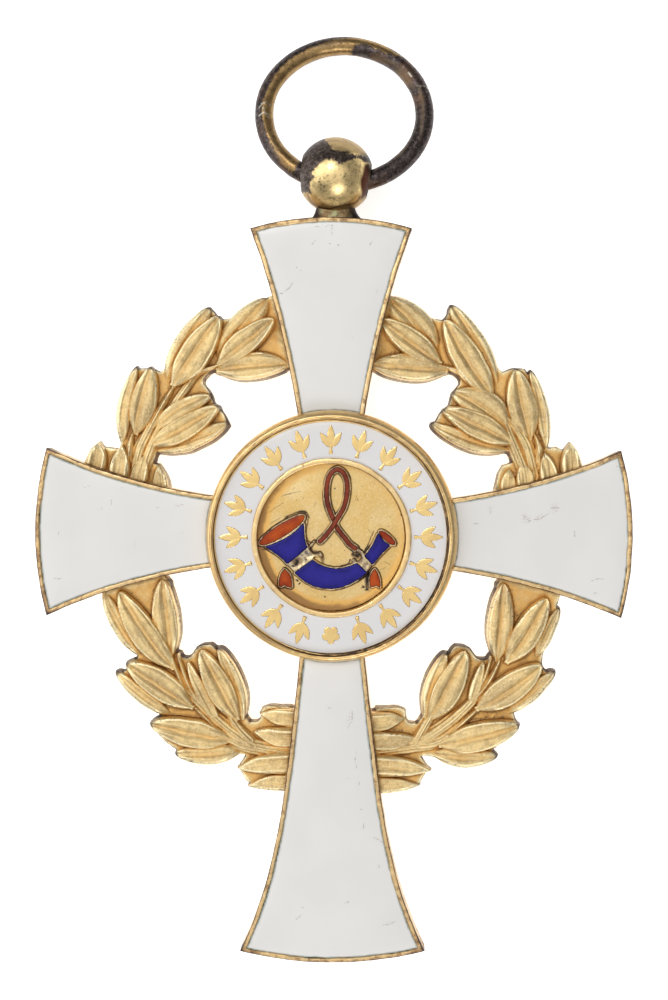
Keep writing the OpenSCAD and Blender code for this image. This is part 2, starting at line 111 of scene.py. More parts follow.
LOWER_LEFT = [
    (-11.36, -8.70, -11.98, -3.06, 1.02, 0.75, 0.00, 1),
    (-11.15, -9.42, -15.01, -3.94, 1.06, 0.90, 0.16, 2),
    (-13.52, -8.60, -16.20, -3.86, 0.55, 0.65, 0.24, 0),
    (-9.81, -12.20, -14.53, -9.01, 0.82, 1.14, 0.04, 2),
    (-11.36, -12.72, -15.32, -9.63, 0.56, 0.54, 0.15, 0),
    (-7.03, -14.47, -12.82, -13.25, 0.94, 1.00, 0.10, 2),
    (-6.31, -15.14, -11.10, -15.45, 0.76, 0.68, 0.14, 0),
    (-6.62, -13.03, -9.22, -8.11, 1.01, 0.85, -0.02, 2),
    (-6.26, -13.03, -8.04, -7.96, 0.55, 0.60, -0.24, 1),
    (-7.80, -13.59, -10.17, -8.91, 0.50, 0.40, 0.05, 1),
]
LOWER_LEFT_STUBS = [
    (-2.50, -12.97, -5.10, -12.61, 0.58, 0.73, 0.08, 0),
    (-2.50, -14.31, -5.51, -13.85, 0.65, 0.85, 0.16, 1),
    (-2.81, -16.06, -6.62, -16.45, 0.78, 0.85, -0.09, 1),
    (-3.12, -17.51, -5.92, -17.76, 0.55, 0.62, -0.08, 0),
]
LOWER_RIGHT = [
    (11.72, -8.91, 12.18, -3.35, 0.85, 0.91, -0.03, 1),
    (12.39, -9.01, 15.27, -4.41, 1.01, 0.90, -0.12, 2),
    (14.44, -8.70, 16.16, -5.12, 0.55, 0.45, 0.01, 0),
    (10.27, -12.31, 14.88, -9.16, 1.12, 0.91, -0.16, 2),
    (12.33, -12.61, 15.86, -9.61, 0.54, 0.58, -0.03, 0),
    (7.60, -14.83, 13.28, -13.39, 1.05, 0.94, -0.15, 2),
    (7.08, -15.39, 11.77, -15.60, 0.75, 0.65, -0.25, 0),
    (6.88, -13.03, 9.47, -8.19, 0.88, 1.10, -0.06, 2),
    (6.57, -12.92, 8.11, -8.32, 0.50, 0.75, 0.20, 1),
    (9.86, -12.31, 10.75, -8.96, 0.46, 0.34, 0.03, 1),
]
LOWER_RIGHT_STUBS = [
    (2.86, -13.23, 5.18, -12.92, 0.74, 0.65, -0.06, 0),
    (2.86, -14.47, 6.03, -14.28, 0.70, 0.70, -0.12, 1),
    (3.07, -16.17, 7.00, -16.61, 0.76, 0.80, 0.07, 1),
    (3.17, -17.66, 6.24, -17.66, 0.55, 0.55, 0.00, 0),
]
# Stems: lines of points, and the half width of each.
UPPER_LEFT_STEMS = [
    ([(-14.0, 4.4), (-13.6, 6.1), (-13.0, 7.4), (-12.1, 9.1), (-11.2, 10.6)], 0.42),
    ([(-13.4, 4.6), (-12.7, 6.6), (-11.6, 8.6), (-10.4, 10.4), (-9.4, 11.6), (-7.8, 12.2)], 0.36),
    ([(-14.4, 5.4), (-14.3, 6.4), (-14.1, 7.3)], 0.26),
]
UPPER_RIGHT_STEMS = [
    ([(14.4, 4.2), (13.9, 6.2), (13.2, 7.5), (12.2, 8.8), (11.3, 10.2)], 0.42),
    ([(13.7, 4.6), (12.8, 6.8), (11.9, 8.8), (10.6, 10.6), (9.0, 11.7), (7.7, 12.1)], 0.36),
    ([(14.7, 4.8), (14.7, 6.2), (14.4, 7.2)], 0.26),
]
LOWER_LEFT_STEMS = [
    ([(-3.0, -15.3), (-5.6, -14.9), (-7.4, -14.2), (-9.6, -12.2)], 0.52),
    ([(-5.6, -14.9), (-7.4, -13.6), (-9.2, -12.0), (-10.6, -10.4), (-11.3, -8.6)], 0.42),
    ([(-6.2, -14.6), (-8.4, -12.8), (-10.0, -10.8), (-10.9, -8.4)], 0.36),
    ([(-5.8, -14.5), (-6.8, -13.4), (-7.7, -11.8)], 0.34),
]
LOWER_RIGHT_STEMS = [
    ([(3.2, -15.1), (5.8, -14.8), (7.8, -14.4), (10.2, -12.4)], 0.52),
    ([(5.8, -14.8), (7.8, -13.6), (9.7, -12.0), (11.1, -10.4), (11.9, -8.8)], 0.42),
    ([(6.4, -14.6), (8.8, -12.9), (10.5, -10.8), (11.3, -8.6)], 0.36),
    ([(6.0, -14.6), (6.8, -13.2), (7.6, -11.8)], 0.34),
]
# Outlines of the plate that joins the leaves.
UPPER_LEFT_GROUND = [
    (-17.4, 4.0), (-11.4, 2.6), (-11.9, 5.0), (-13.0, 5.3), (-12.4, 6.1), (-7.1, 7.7),
    (-7.7, 8.9), (-8.3, 9.3), (-8.5, 10.2), (-9.2, 11.0), (-8.6, 11.7), (-7.9, 11.9),
    (-3.0, 11.9), (-2.4, 12.4), (-3.2, 17.3), (-4.7, 17.0), (-7.7, 15.2), (-8.6, 16.3),
    (-12.0, 11.6), (-12.8, 12.0), (-14.0, 11.9), (-14.9, 6.2), (-16.2, 6.4), (-17.2, 5.0),
]
UPPER_RIGHT_GROUND = [(-x, y) for x, y in reversed(UPPER_LEFT_GROUND)]
LOWER_GROUND = [
    (-3.0, -17.9), (-2.4, -12.1), (-4.9, -12.0), (-5.0, -13.1), (-5.9, -13.2), (-7.4, -9.4),
    (-8.3, -7.6), (-9.4, -7.7), (-10.0, -8.6), (-11.3, -8.6), (-11.3, -2.2), (-16.1, -3.4),
    (-15.2, -6.6), (-13.4, -9.0), (-15.0, -9.7), (-13.6, -11.4), (-11.0, -12.9), (-12.9, -13.4),
    (-11.4, -15.0), (-9.0, -16.2), (-5.9, -15.4), (-6.6, -16.4), (-5.8, -17.7),
]
LOWER_LEFT_GROUND = [(x - 0.1, y) for x, y in LOWER_GROUND]
# On the right the plate reaches further out at two of its points.
LOWER_RIGHT_GROUND = [(0.35 - x, y - 0.1) for x, y in reversed(LOWER_GROUND)]
LOWER_RIGHT_GROUND[6] = (12.9, -12.4)
LOWER_RIGHT_GROUND[9] = (14.9, -9.0)

# The quarters of the wreath: leaves, short leaves by the arms, stems and plate.
WREATH = {
    "upper_left": (UPPER_LEFT, UPPER_LEFT_STUBS, UPPER_LEFT_STEMS, UPPER_LEFT_GROUND),
    "upper_right": (UPPER_RIGHT, UPPER_RIGHT_STUBS, UPPER_RIGHT_STEMS, UPPER_RIGHT_GROUND),
    "lower_left": (LOWER_LEFT, LOWER_LEFT_STUBS, LOWER_LEFT_STEMS, LOWER_LEFT_GROUND),
    "lower_right": (LOWER_RIGHT, LOWER_RIGHT_STUBS, LOWER_RIGHT_STEMS, LOWER_RIGHT_GROUND),
}

# Horn: plan outlines of its enamels and lines of its cord.
BELL = [
    (-4.57, -0.67), (-4.06, -0.99), (-3.67, -1.26), (-3.28, -1.59), (-3.07, -1.86), (-2.35, -1.30),
    (-1.67, -0.71), (-1.83, -0.34), (-1.88, 0.09), (-1.91, 0.55), (-1.93, 0.96), (-2.11, 0.73),
    (-2.47, 0.38), (-2.97, 0.02), (-3.50, -0.26), (-3.99, -0.48),
]
BODY = [
    (-1.30, -1.61), (-2.52, -2.49), (-2.19, -2.78), (-1.80, -3.10), (-1.18, -3.42), (-0.55, -3.56),
    (0.07, -3.60), (0.69, -3.50), (1.32, -3.27), (1.94, -2.92), (2.49, -2.49), (1.83, -1.86), (1.40, -2.02),
    (0.85, -2.19), (0.23, -2.23), (-0.40, -2.11), (-0.87, -1.90),
]
TAIL = [
    (3.32, 0.24), (3.19, -0.03), (3.00, -0.46), (2.72, -0.91), (2.39, -1.33), (2.92, -1.90), (3.35, -1.36),
    (3.74, -0.94), (4.13, -0.58), (3.74, -0.32), (3.50, -0.02),
]
LEFT_TASSEL = [
    (-3.26, -2.25), (-3.47, -2.55), (-3.60, -2.96), (-3.61, -3.42), (-3.44, -3.46), (-3.27, -3.31),
    (-3.07, -3.44), (-2.75, -3.52), (-2.80, -2.88), (-2.97, -2.53),
]
RIGHT_TASSEL = [
    (3.07, -2.25), (2.89, -2.49), (2.74, -2.92), (2.78, -3.46), (3.00, -3.42), (3.23, -3.35), (3.44, -3.52),
    (3.40, -2.96), (3.27, -2.57),
]
MOUTH = ((-3.42, 0.49), (1.82, 0.40), 31.8)
MOUTHPIECE = ((3.95, -0.05), (0.68, 0.20), -41)
# The cord's upper strand makes the loop and crosses over its own end, which runs on as the lower strand.
UPPER_STRAND = [
    (-0.75, -0.29), (-0.48, -0.03), (-0.16, 0.36), (0.11, 0.71), (0.34, 1.10), (0.62, 1.57), (0.89, 2.04),
    (1.05, 2.58), (1.15, 3.21), (1.12, 3.91), (0.93, 4.42), (0.62, 4.70), (0.38, 4.73), (0.03, 4.49),
    (-0.18, 4.06), (-0.28, 3.52), (-0.30, 2.89), (-0.24, 2.43), (-0.12, 1.96), (0.09, 1.45),
]
LOWER_STRAND = [
    (0.09, 1.45), (0.27, 1.02), (0.46, 0.59), (0.69, 0.28), (1.01, -0.11), (1.32, -0.50), (1.71, -0.79),
]
# Share of the upper strand after which it lies behind, and how many of its points lie in front.
BEHIND_FROM, IN_FRONT = 0.7, 8
CORD_HALF = 0.13
CORD_RIM = 0.11
BANDS = [
    [(-3.10, -1.88), (-2.50, -2.50), (-1.25, -1.58), (-1.15, -1.25), (-1.64, -0.68)],
    [(1.80, -1.84), (2.50, -2.50), (2.94, -1.90), (2.36, -1.30)],
]
# Knots that tie the cord to the bands.
KNOTS = [
    ([(-1.17, -0.30), (-1.42, -0.62), (-1.62, -0.80)], 0.07),
    ([(-1.45, -1.20), (-1.05, -1.27), (-0.80, -1.14), (-0.68, -1.32)], 0.11),
    ([(1.98, -0.98), (2.20, -1.16), (2.30, -1.40)], 0.12),
    ([(1.62, -1.66), (1.66, -1.80), (1.86, -1.84)], 0.12),
]
# Dark residue: lines with their half width, and spots with their half width and height.
DIRT_LINES = [
    ([(-4.73, 0.10), (-3.99, 0.76), (-3.13, 1.36)], 0.04),
    ([(-3.13, 1.40), (-2.60, 1.64), (-2.19, 1.76), (-1.72, 1.70), (-1.58, 1.36)], 0.08),
    ([(-1.60, 1.30), (-1.68, 0.80), (-1.74, 0.24), (-1.57, -0.28), (-1.25, -0.34)], 0.06),
    ([(0.80, -3.60), (1.47, -3.36), (2.00, -3.02), (2.41, -2.62)], 0.06),
    ([(3.00, 0.40), (2.84, 0.02), (2.60, -0.50), (2.31, -1.10)], 0.04),
    ([(4.08, -0.66), (3.48, -1.28), (3.08, -1.84)], 0.06),
    ([(4.50, -0.15), (4.60, -0.50)], 0.06),
    ([(2.78, -2.10), (2.58, -2.60), (2.50, -3.20), (2.52, -3.64)], 0.15),
    ([(-1.49, -0.72), (-1.29, -1.01), (-0.90, -1.16)], 0.15),
    ([(-0.64, -1.42), (-0.60, -1.74)], 0.17),
    ([(1.34, -1.56), (1.18, -1.90), (0.70, -2.04)], 0.06),
]
DIRT_SPOTS = [
    (1.84, -1.28, 0.34, 0.27), (1.50, -1.20, 0.12, 0.20), (2.20, -3.42, 0.10, 0.10),
    (-2.40, -3.05, 0.12, 0.14), (-2.20, -3.30, 0.08, 0.08), (-2.38, -1.72, 0.34, 0.30),
    (-2.62, -1.98, 0.18, 0.12), (-1.72, -1.52, 0.12, 0.12), (-3.15, 1.42, 0.14, 0.08),
    (-4.62, -0.86, 0.26, 0.07), (4.62, -0.48, 0.10, 0.12), (2.50, -3.66, 0.20, 0.16),
]
PITS = [
    (-0.44, -4.20, 0.09), (0.27, 3.40, 0.08), (-3.95, 3.01, 0.05), (4.94, 1.55, 0.09), (2.85, 1.35, 0.04),
    (1.75, 2.62, 0.05), (-2.60, 3.45, 0.04), (-1.55, 2.75, 0.04), (0.95, -0.95, 0.05), (4.05, 0.75, 0.05),
    (-4.3, -1.6, 0.05), (2.1, 3.6, 0.03), (-1.1, 3.9, 0.03), (3.3, 2.6, 0.03),
]
SCRATCHES = [
    [(-4.30, 1.75), (-3.85, 2.10), (-3.55, 2.25), (-3.34, 2.42)],
    [(-4.55, 2.15), (-4.30, 2.05)],
    [(-3.50, 2.85), (-2.90, 3.05), (-2.10, 3.20)],
    [(-3.25, 2.98), (-2.80, 3.02)],
    [(1.75, 2.90), (1.85, 2.70), (1.92, 2.50)],
    [(1.15, 4.25), (1.35, 4.05)],
    [(-0.10, -0.42), (0.06, -0.55)],
    [(3.75, -1.70), (4.15, -1.95)],
    [(3.45, -2.30), (3.85, -2.15)],
    [(-4.25, 0.95), (-3.55, 1.35)],
    [(-1.20, 2.10), (-1.05, 2.45)],
    [(2.60, 0.55), (2.95, 0.10)],
]


# Small mathematics

LATTICE, LATTICE_SHIFT = 64, (17.3, 29.1)


def smooth(value, low, high):
    """0 below low, 1 above high, and a soft step between."""
    t = np.clip((value - low) / (high - low), 0, 1)
    return t * t * (3 - 2 * t)


def hump(distance, width):
    """1 at no distance, and soon 0 beyond a width."""
    return np.exp(-((distance / width) ** 2))


def domed(inside, reach):
    """0 at an edge, and nearly 1 from three times the reach inside it."""
    return 1 - np.exp(-inside / reach)


def noise(x, y, cell, seed):
    """Soft random field from -1 to 1 whose lumps are one cell wide."""
    table = np.random.default_rng(seed).uniform(-1, 1, (LATTICE, LATTICE))
    u, v = np.asarray(x) / cell + LATTICE_SHIFT[0], np.asarray(y) / cell + LATTICE_SHIFT[1]
    i, j = np.floor(u).astype(int), np.floor(v).astype(int)
    fu, fv = smooth(u - i, 0, 1), smooth(v - j, 0, 1)
    i0, j0, i1, j1 = i % LATTICE, j % LATTICE, (i + 1) % LATTICE, (j + 1) % LATTICE
    low = table[j0, i0] * (1 - fu) + table[j0, i1] * fu
    high = table[j1, i0] * (1 - fu) + table[j1, i1] * fu
    return low * (1 - fv) + high * fv


def lumps(x, y, *layers):
    """Sum of noises, each given by its height, the size of its lumps and its seed."""
    return sum(height * noise(x, y, size, seed) for height, size, seed in layers)


def signed_distance(x, y, outline):
    """Distance to a closed outline, negative inside it."""
    best = np.full(np.shape(x), np.inf)
    inside = np.zeros(np.shape(x), bool)
    points = np.asarray(outline, float)
    for (ax, ay), (bx, by) in zip(points, np.roll(points, -1, 0)):
        ex, ey = bx - ax, by - ay
        wx, wy = x - ax, y - ay
        h = np.clip((wx * ex + wy * ey) / (ex * ex + ey * ey + 1e-12), 0, 1)
        best = np.minimum(best, (wx - h * ex) ** 2 + (wy - h * ey) ** 2)
        if ay != by:
            spans = (ay <= y) != (by <= y)
            inside ^= spans & (wx < wy * ex / ey)
    return np.where(inside, -1, 1) * np.sqrt(best)


def line_distance(x, y, line):
    """Distance to an open line of points, and the share of the way along it."""
    best = np.full(np.shape(x), np.inf)
    share = np.zeros(np.shape(x))
    points = np.asarray(line, float)
    for n, ((ax, ay), (bx, by)) in enumerate(zip(points[:-1], points[1:])):
        ex, ey = bx - ax, by - ay
        h = np.clip(((x - ax) * ex + (y - ay) * ey) / (ex * ex + ey * ey), 0, 1)
        d = np.hypot(x - ax - h * ex, y - ay - h * ey)
        share = np.where(d < best, (n + h) / (len(points) - 1), share)
        best = np.minimum(best, d)
    return best, share


def spline(points, steps):
    """A smooth curve through a line of points."""
    p = np.asarray(points, float)
    wide = np.concatenate([p[:1], p, p[-1:]])
    out = []
    for a, b, c, d in zip(wide, wide[1:], wide[2:], wide[3:]):
        square, cube = 2 * a - 5 * b + 4 * c - d, 3 * b - a - 3 * c + d
        for t in np.arange(steps) / steps:
            out.append(0.5 * (2 * b + (c - a) * t + square * t**2 + cube * t**3))
    return np.array([*out, p[-1]])


def curve_distance(x, y, points, steps):
    return line_distance(x, y, spline(points, steps))[0]


def blurred(field, cells):
    """The field smoothed by a Gaussian of that many cells."""
    reach = int(3 * cells) + 1
    taps = np.exp(-0.5 * (np.arange(-reach, reach + 1) / cells) ** 2)
    taps /= taps.sum()
    for axis in (0, 1):
        pad = [(reach, reach) if a == axis else (0, 0) for a in (0, 1)]
        wide = np.pad(field, pad, mode="edge")
        size = field.shape[axis]
        field = sum(w * np.take(wide, range(n, n + size), axis) for n, w in enumerate(taps))
    return field


def slid(field, right, down):
    """The field moved by a number of cells that need not be whole."""
    i, j = math.floor(right), math.floor(down)
    u, v = right - i, down - j
    parts = ((0, 0, (1 - u) * (1 - v)), (1, 0, u * (1 - v)), (0, 1, (1 - u) * v), (1, 1, u * v))
    return sum(share * np.roll(field, (j + b, i + a), (0, 1)) for a, b, share in parts)


def softened(points, rounds=2, most=9.0):
    """A closed outline with its corners cut back by no more than a distance, so that they turn round."""
    p = np.asarray(points, float)
    for _ in range(rounds):
        way = np.roll(p, -1, 0) - p
        cut = way * np.minimum(0.18, most / np.linalg.norm(way, axis=1))[:, None]
        p = np.stack([p + cut, p + way - cut], 1).reshape(-1, 2)
    return p


def spun(points, angle):
    """Points turned about Z."""
    x, y = points[..., 0], points[..., 1]
    c, s = math.cos(angle), math.sin(angle)
    return np.concatenate([np.stack([x * c - y * s, x * s + y * c], -1), points[..., 2:]], -1)


def quarter_turned(points, turns, shift):
    """Points drawn for the top arm, put at the place of another arm."""
    p = np.asarray(points, float)
    for _ in range(turns):
        p = np.stack([-p[..., 1], p[..., 0]], -1)
    return p + np.asarray(shift, float)


def ellipse(at, half, turn, steps=48):
    a = np.linspace(0, TURN, steps, endpoint=False)
    return spun(np.stack([half[0] * np.cos(a), half[1] * np.sin(a)], 1), math.radians(turn)) + at


def moved_out(outline, distance):
    """A closed counter-clockwise outline moved out by a distance for each point."""
    p = np.asarray(outline, float)
    before, after = p - np.roll(p, 1, 0), np.roll(p, -1, 0) - p
    n1, n2 = (np.stack([d[:, 1], -d[:, 0]], 1) / np.linalg.norm(d, axis=1)[:, None] for d in (before, after))
    mitre = (n1 + n2) / (1 + (n1 * n2).sum(1))[:, None]
    return p + distance[:, None] * mitre


def blobs(x, y, spots):
    """Sum of soft spots: centre x, centre y, half sizes, turn in degrees, weight."""
    total = np.zeros(np.shape(x))
    for cx, cy, rx, ry, turn, weight in spots:
        c, s = math.cos(math.radians(turn)), math.sin(math.radians(turn))
        u = ((x - cx) * c + (y - cy) * s) / rx
        v = (-(x - cx) * s + (y - cy) * c) / ry
        total += weight * np.exp(-(u * u + v * v) ** 1.5)
    return total


# Meshes


def add_piece(
    name, verts, faces, material, body="cross", nodes=("cross_body",), slot="gilt", values=None, crisp=60
):
    """A mesh that rides on a body and stands for CAD nodes. Its values are read by the materials."""
    mesh = bpy.data.meshes.new(name)
    mesh.from_pydata((np.asarray(verts) * MM).tolist(), [], [list(map(int, f)) for f in faces])
    mesh.validate()
    mesh.update()
    for key, value in (values or {}).items():
        attribute = mesh.attributes.new(key, "FLOAT", "POINT")
        attribute.data.foreach_set("value", np.asarray(value, np.float32))
    mesh.polygons.foreach_set("use_smooth", np.ones(len(mesh.polygons), bool))
    mesh.set_sharp_from_angle(angle=math.radians(crisp))
    mesh.materials.append(material)
    piece = bpy.data.objects.new(name, mesh)
    bpy.context.scene.collection.objects.link(piece)
    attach(piece, body)
    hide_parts(*nodes)


def grid(low, high, step):
    return np.meshgrid(*(np.arange(a, b + step, step) for a, b in zip(low, high)))


def chained(edges):
    """Directed edges joined into closed loops."""
    follow = dict(edges)
    loops = []
    while follow:
        start, here = follow.popitem()
        loop = [start]
        while here != start:
            loop.append(here)
            here = follow.pop(here)
        loops.append(loop)
    return loops


def solid_above(x, y, z, floor, values):
    """The closed solid between a height field and a flat floor, with a smooth outline where they meet."""
    z = np.where(np.abs(z - floor) < 1e-4, floor + 1e-4, z)
    rows, cols = z.shape
    index = np.arange(rows * cols).reshape(rows, cols)
    a, b, c, d = index[:-1, :-1], index[:-1, 1:], index[1:, 1:], index[1:, :-1]
    odd = (np.add.outer(np.arange(rows - 1), np.arange(cols - 1)) % 2).astype(bool)
    first = np.where(odd[..., None], np.stack([a, b, d], -1), np.stack([a, b, c], -1))
    second = np.where(odd[..., None], np.stack([b, c, d], -1), np.stack([a, c, d], -1))
    tris = np.concatenate([first.reshape(-1, 3), second.reshape(-1, 3)])
    above = z.ravel() > floor
    count = above[tris].sum(1)
    whole, part = tris[count == 3], tris[(count == 1) | (count == 2)]
    lone = above[part].sum(1) == 1
    turn = (above[part] == lone[:, None]).argmax(1)
    p, q, r = (part[np.arange(len(part)), (turn + k) % 3] for k in range(3))

    # Each edge that crosses the floor gets one new point there, with all values in between.
    size = rows * cols
    pairs = np.concatenate([np.minimum(p, other) * size + np.maximum(p, other) for other in (q, r)])
    unique, back = np.unique(pairs, return_inverse=True)
    one, two = unique // size, unique % size
    flat = {"x": x.ravel(), "y": y.ravel(), "z": z.ravel(), **{k: v.ravel() for k, v in values.items()}}
    t = (floor - flat["z"][one]) / (flat["z"][two] - flat["z"][one])
    flat = {k: np.concatenate([v, v[one] * (1 - t) + v[two] * t]) for k, v in flat.items()}
    pq, pr = size + back[: len(p)], size + back[len(p) :]
    corners = ((p, pq, pr, lone), (pq, q, r, ~lone), (pq, r, pr, ~lone))
    faces = [whole, *(np.stack(three, 1)[kept] for *three, kept in corners)]
    edges = np.concatenate([np.stack([pq, pr], 1)[lone], np.stack([pr, pq], 1)[~lone]])

    # The flat underside.
    loops = chained(edges.tolist())
    order = [v for loop in loops for v in loop]
    spots = [[Vector((flat["x"][v], flat["y"][v], 0)) for v in loop] for loop in loops]
    cap = np.array([[order[k] for k in tri] for tri in tessellate_polygon(spots)])
    e1, e2 = (np.stack([flat[k][cap[:, n]] - flat[k][cap[:, 0]] for k in "xy"]) for n in (1, 2))
    up = e1[0] * e2[1] - e1[1] * e2[0] > 0
    cap[up] = cap[up][:, ::-1]

    used, tris = np.unique(np.concatenate([*faces, cap]), return_inverse=True)
    verts = np.stack([flat[k][used] for k in "xyz"], 1)
    return verts, tris.reshape(-1, 3), {k: flat[k][used] for k in values}


def add_relief(name, x, y, z, floor, values, material, **placing):
    """A piece that is the solid between a height field and a flat floor."""
    verts, tris, kept = solid_above(x, y, z, floor, values)
    add_piece(name, verts, tris, material, values=kept, **placing)


def lofted(loops, ends=False, closed=False, flipped=False):
    """Quads between loops of points. ends caps the first and last loop, closed joins them to each other."""
    loops = np.asarray(loops, float)
    rows, cols = loops.shape[:2]
    index = np.arange(rows * cols).reshape(rows, cols)
    if closed:
        index = np.concatenate([index, index[:1]])
    a, b = index[:-1], index[1:]
    faces = np.stack([a, np.roll(a, -1, 1), np.roll(b, -1, 1), b], -1).reshape(-1, 4).tolist()
    if ends:
        faces += [index[0][::-1].tolist(), index[-1].tolist()]
    return loops.reshape(-1, 3), [face[::-1] for face in faces] if flipped else faces


def turned(profile, steps, wobble=None, **closing):
    """A lathe about Z: loops of a profile of radius and height."""
    a = np.linspace(0, TURN, steps, endpoint=False)
    loops = []
    for n, (r, z) in enumerate(profile):
        radius, height = wobble(a, r, z, n) if wobble else (r, z)
        loops.append(np.stack([radius * np.cos(a), radius * np.sin(a), height + 0 * a], 1))
    return lofted(loops, **closing)


# Materials

METAL = {"Metallic": 1.0}
STEP_INPUTS = ("From Min", "From Max", "To Min", "To Max")


class Number:
    """An output of a node tree that is added and multiplied like a number."""

    def __init__(self, paint, socket):
        self.paint, self.socket = paint, socket

    def __add__(self, other):
        return self.paint.math("ADD", self, other)

    def __sub__(self, other):
        return self.paint.math("SUBTRACT", self, other)

    def __mul__(self, other):
        return self.paint.math("MULTIPLY", self, other)

    def step(self, low, high, start=0.0, end=1.0):
        """A soft step from start at low to end at high. low may lie above high."""
        inputs = {"Value": self, **dict(zip(STEP_INPUTS, (low, high, start, end)))}
        return self.paint.made("ShaderNodeMapRange", "Result", inputs, interpolation_type="SMOOTHSTEP")


class Paint:
    """A material that is built by laying colours over each other."""

    def __init__(self, name, base, constants=METAL, plain_back=False):
        self.material = bpy.data.materials.new(name)
        self.material.use_nodes = True
        self.tree = self.material.node_tree
        self.shader = self.tree.nodes["Principled BSDF"]
        for key, value in constants.items():
            self.put(self.shader.inputs[key], value)
        here = self.tree.nodes.new("ShaderNodeTexCoord")
        self.place = Number(self, here.outputs["Object"])
        self.upward = self.made("ShaderNodeSeparateXYZ", "Z", {0: Number(self, here.outputs["Normal"])})
        self.seen = self.upward.step(-0.9, -0.6) if plain_back else None
        self.tone = base

    def put(self, socket, value):
        if isinstance(value, Number):
            self.tree.links.new(value.socket, socket)
        elif socket.type == "RGBA" and len(value) == 3:
            socket.default_value = (*value, 1)
        else:
            socket.default_value = value

    def made(self, kind, output, inputs, **settings):
        """The output of a new node with these inputs and settings."""
        node = self.tree.nodes.new(kind)
        for key, value in settings.items():
            setattr(node, key, value)
        for key, value in inputs.items():
            self.put(node.inputs[key], value)
        return Number(self, node.outputs[output])

    def math(self, kind, a, b=0.0):
        return self.made("ShaderNodeMath", 0, {0: a, 1: b}, operation=kind)

    def value(self, name):
        """A value of the mesh. On a plain back it's nought wherever the surface faces straight down."""
        value = self.made("ShaderNodeAttribute", "Fac", {}, attribute_name=name)
        return value * self.seen if self.seen else value

    def noise(self, size_mm, detail=2.0, rough=0.5, stretch=(1, 1, 1), turn=0.0):
        """Noise whose lumps are about size_mm wide, from 0 to 1."""
        mapping = {"Vector": self.place, "Scale": stretch, "Rotation": (0, 0, turn)}
        place = self.made("ShaderNodeMapping", 0, mapping)
        inputs = {"Vector": place, "Scale": 1 / (size_mm * MM), "Detail": detail, "Roughness": rough}
        return self.made("ShaderNodeTexNoise", "Fac", inputs)

    def cells(self, size_mm):
        """Distance to the nearest of scattered points, in cells."""
        inputs = {"Vector": self.place, "Scale": 1 / (size_mm * MM)}
        return self.made("ShaderNodeTexVoronoi", "Distance", inputs)

    def mix(self, share, a, b):
        return self.made("ShaderNodeMix", 2, {"Factor": share, 6: a, 7: b}, data_type="RGBA")

    def lay(self, colour, share):
        """Lays a colour over those before it, as strongly as its share."""
        self.tone = self.mix(share, self.tone, colour)

    def done(self, rough, height=None, depth_mm=0.0, strength=1.0):
        """The material, with its colour, its roughness and fine bumps of a height and depth."""
        self.put(self.shader.inputs["Base Color"], self.tone)
        self.put(self.shader.inputs["Roughness"], rough)
        if height:
            inputs = {"Strength": strength, "Distance": depth_mm * MM, "Height": height}
            self.put(self.shader.inputs["Normal"], self.made("ShaderNodeBump", 0, inputs))
        return self.material


def scaled(colour, factor):
    return tuple(c * factor for c in colour)


def frosted_gilt():
    """The wreath: frosted gilding with painted shade, orange-brown and brown, in the grooves, on the low
    plate, on the low steep sides and in the creases by the arms, pale on the burnished edges.
    """
    p = Paint("frosted_gilt", (0.84, 0.64, 0.31), plain_back=True)
    cavity, border = p.value("cavity"), p.value("border")
    p.lay((0.64, 0.48, 0.24), p.noise(2.6, 3).step(0.35, 0.7))
    p.lay((0.46, 0.32, 0.15), p.noise(0.55, 5, 0.65).step(0.46, 0.66, 0, 0.55))
    p.lay((1.0, 0.84, 0.54), p.noise(0.16, 4, 0.7).step(0.48, 0.68, 0, 0.5))
    # Painted shade in the grooves and on the low plate between the leaves, orange-brown and then brown.
    groove = cavity + p.noise(0.5, 3) * 0.35
    p.lay((0.74, 0.43, 0.13), groove.step(0.20, 0.75, 0, 0.85))
    p.lay((0.42, 0.23, 0.08), groove.step(0.80, 1.35, 0, 0.70))
    # Painted shade on the low steep sides.
    p.lay((0.19, 0.11, 0.06), p.value("steep").step(0.2, 0.8, 0, 0.95))
    edge = cavity.step(-0.25, -0.65, 0, 0.75)
    p.lay((1.0, 0.86, 0.54), edge)
    at_edge = p.math("MAXIMUM", border, p.math("ABSOLUTE", cavity).step(0.30, 0.8, 0, 0.7))
    specks = p.noise(0.17, 4, 0.7).step(0.53, 0.60) * at_edge * p.noise(2.0, 2).step(0.42, 0.58, 0.15, 1.0)
    loose = p.noise(0.13, 4, 0.7).step(0.60, 0.66) * p.noise(1.6, 2).step(0.50, 0.60, 0, 0.6)
    p.lay((0.085, 0.065, 0.06), p.math("MAXIMUM", specks, loose) * 0.9)
    p.lay((0.20, 0.13, 0.09), border * 0.50)
    p.lay((0.08, 0.062, 0.055), (border + p.noise(0.3, 4) * 0.8).step(1.15, 1.7, 0, 0.85))
    # Painted shade in the creases along the arms.
    p.lay((0.28, 0.15, 0.06), p.value("arm_crease_shade") * 0.6)
    return p.done(edge.step(0.0, 0.8, 0.58, 0.42), p.noise(0.06, 3, 0.65) * 0.7 + p.noise(0.2, 3), 0.024, 0.8)


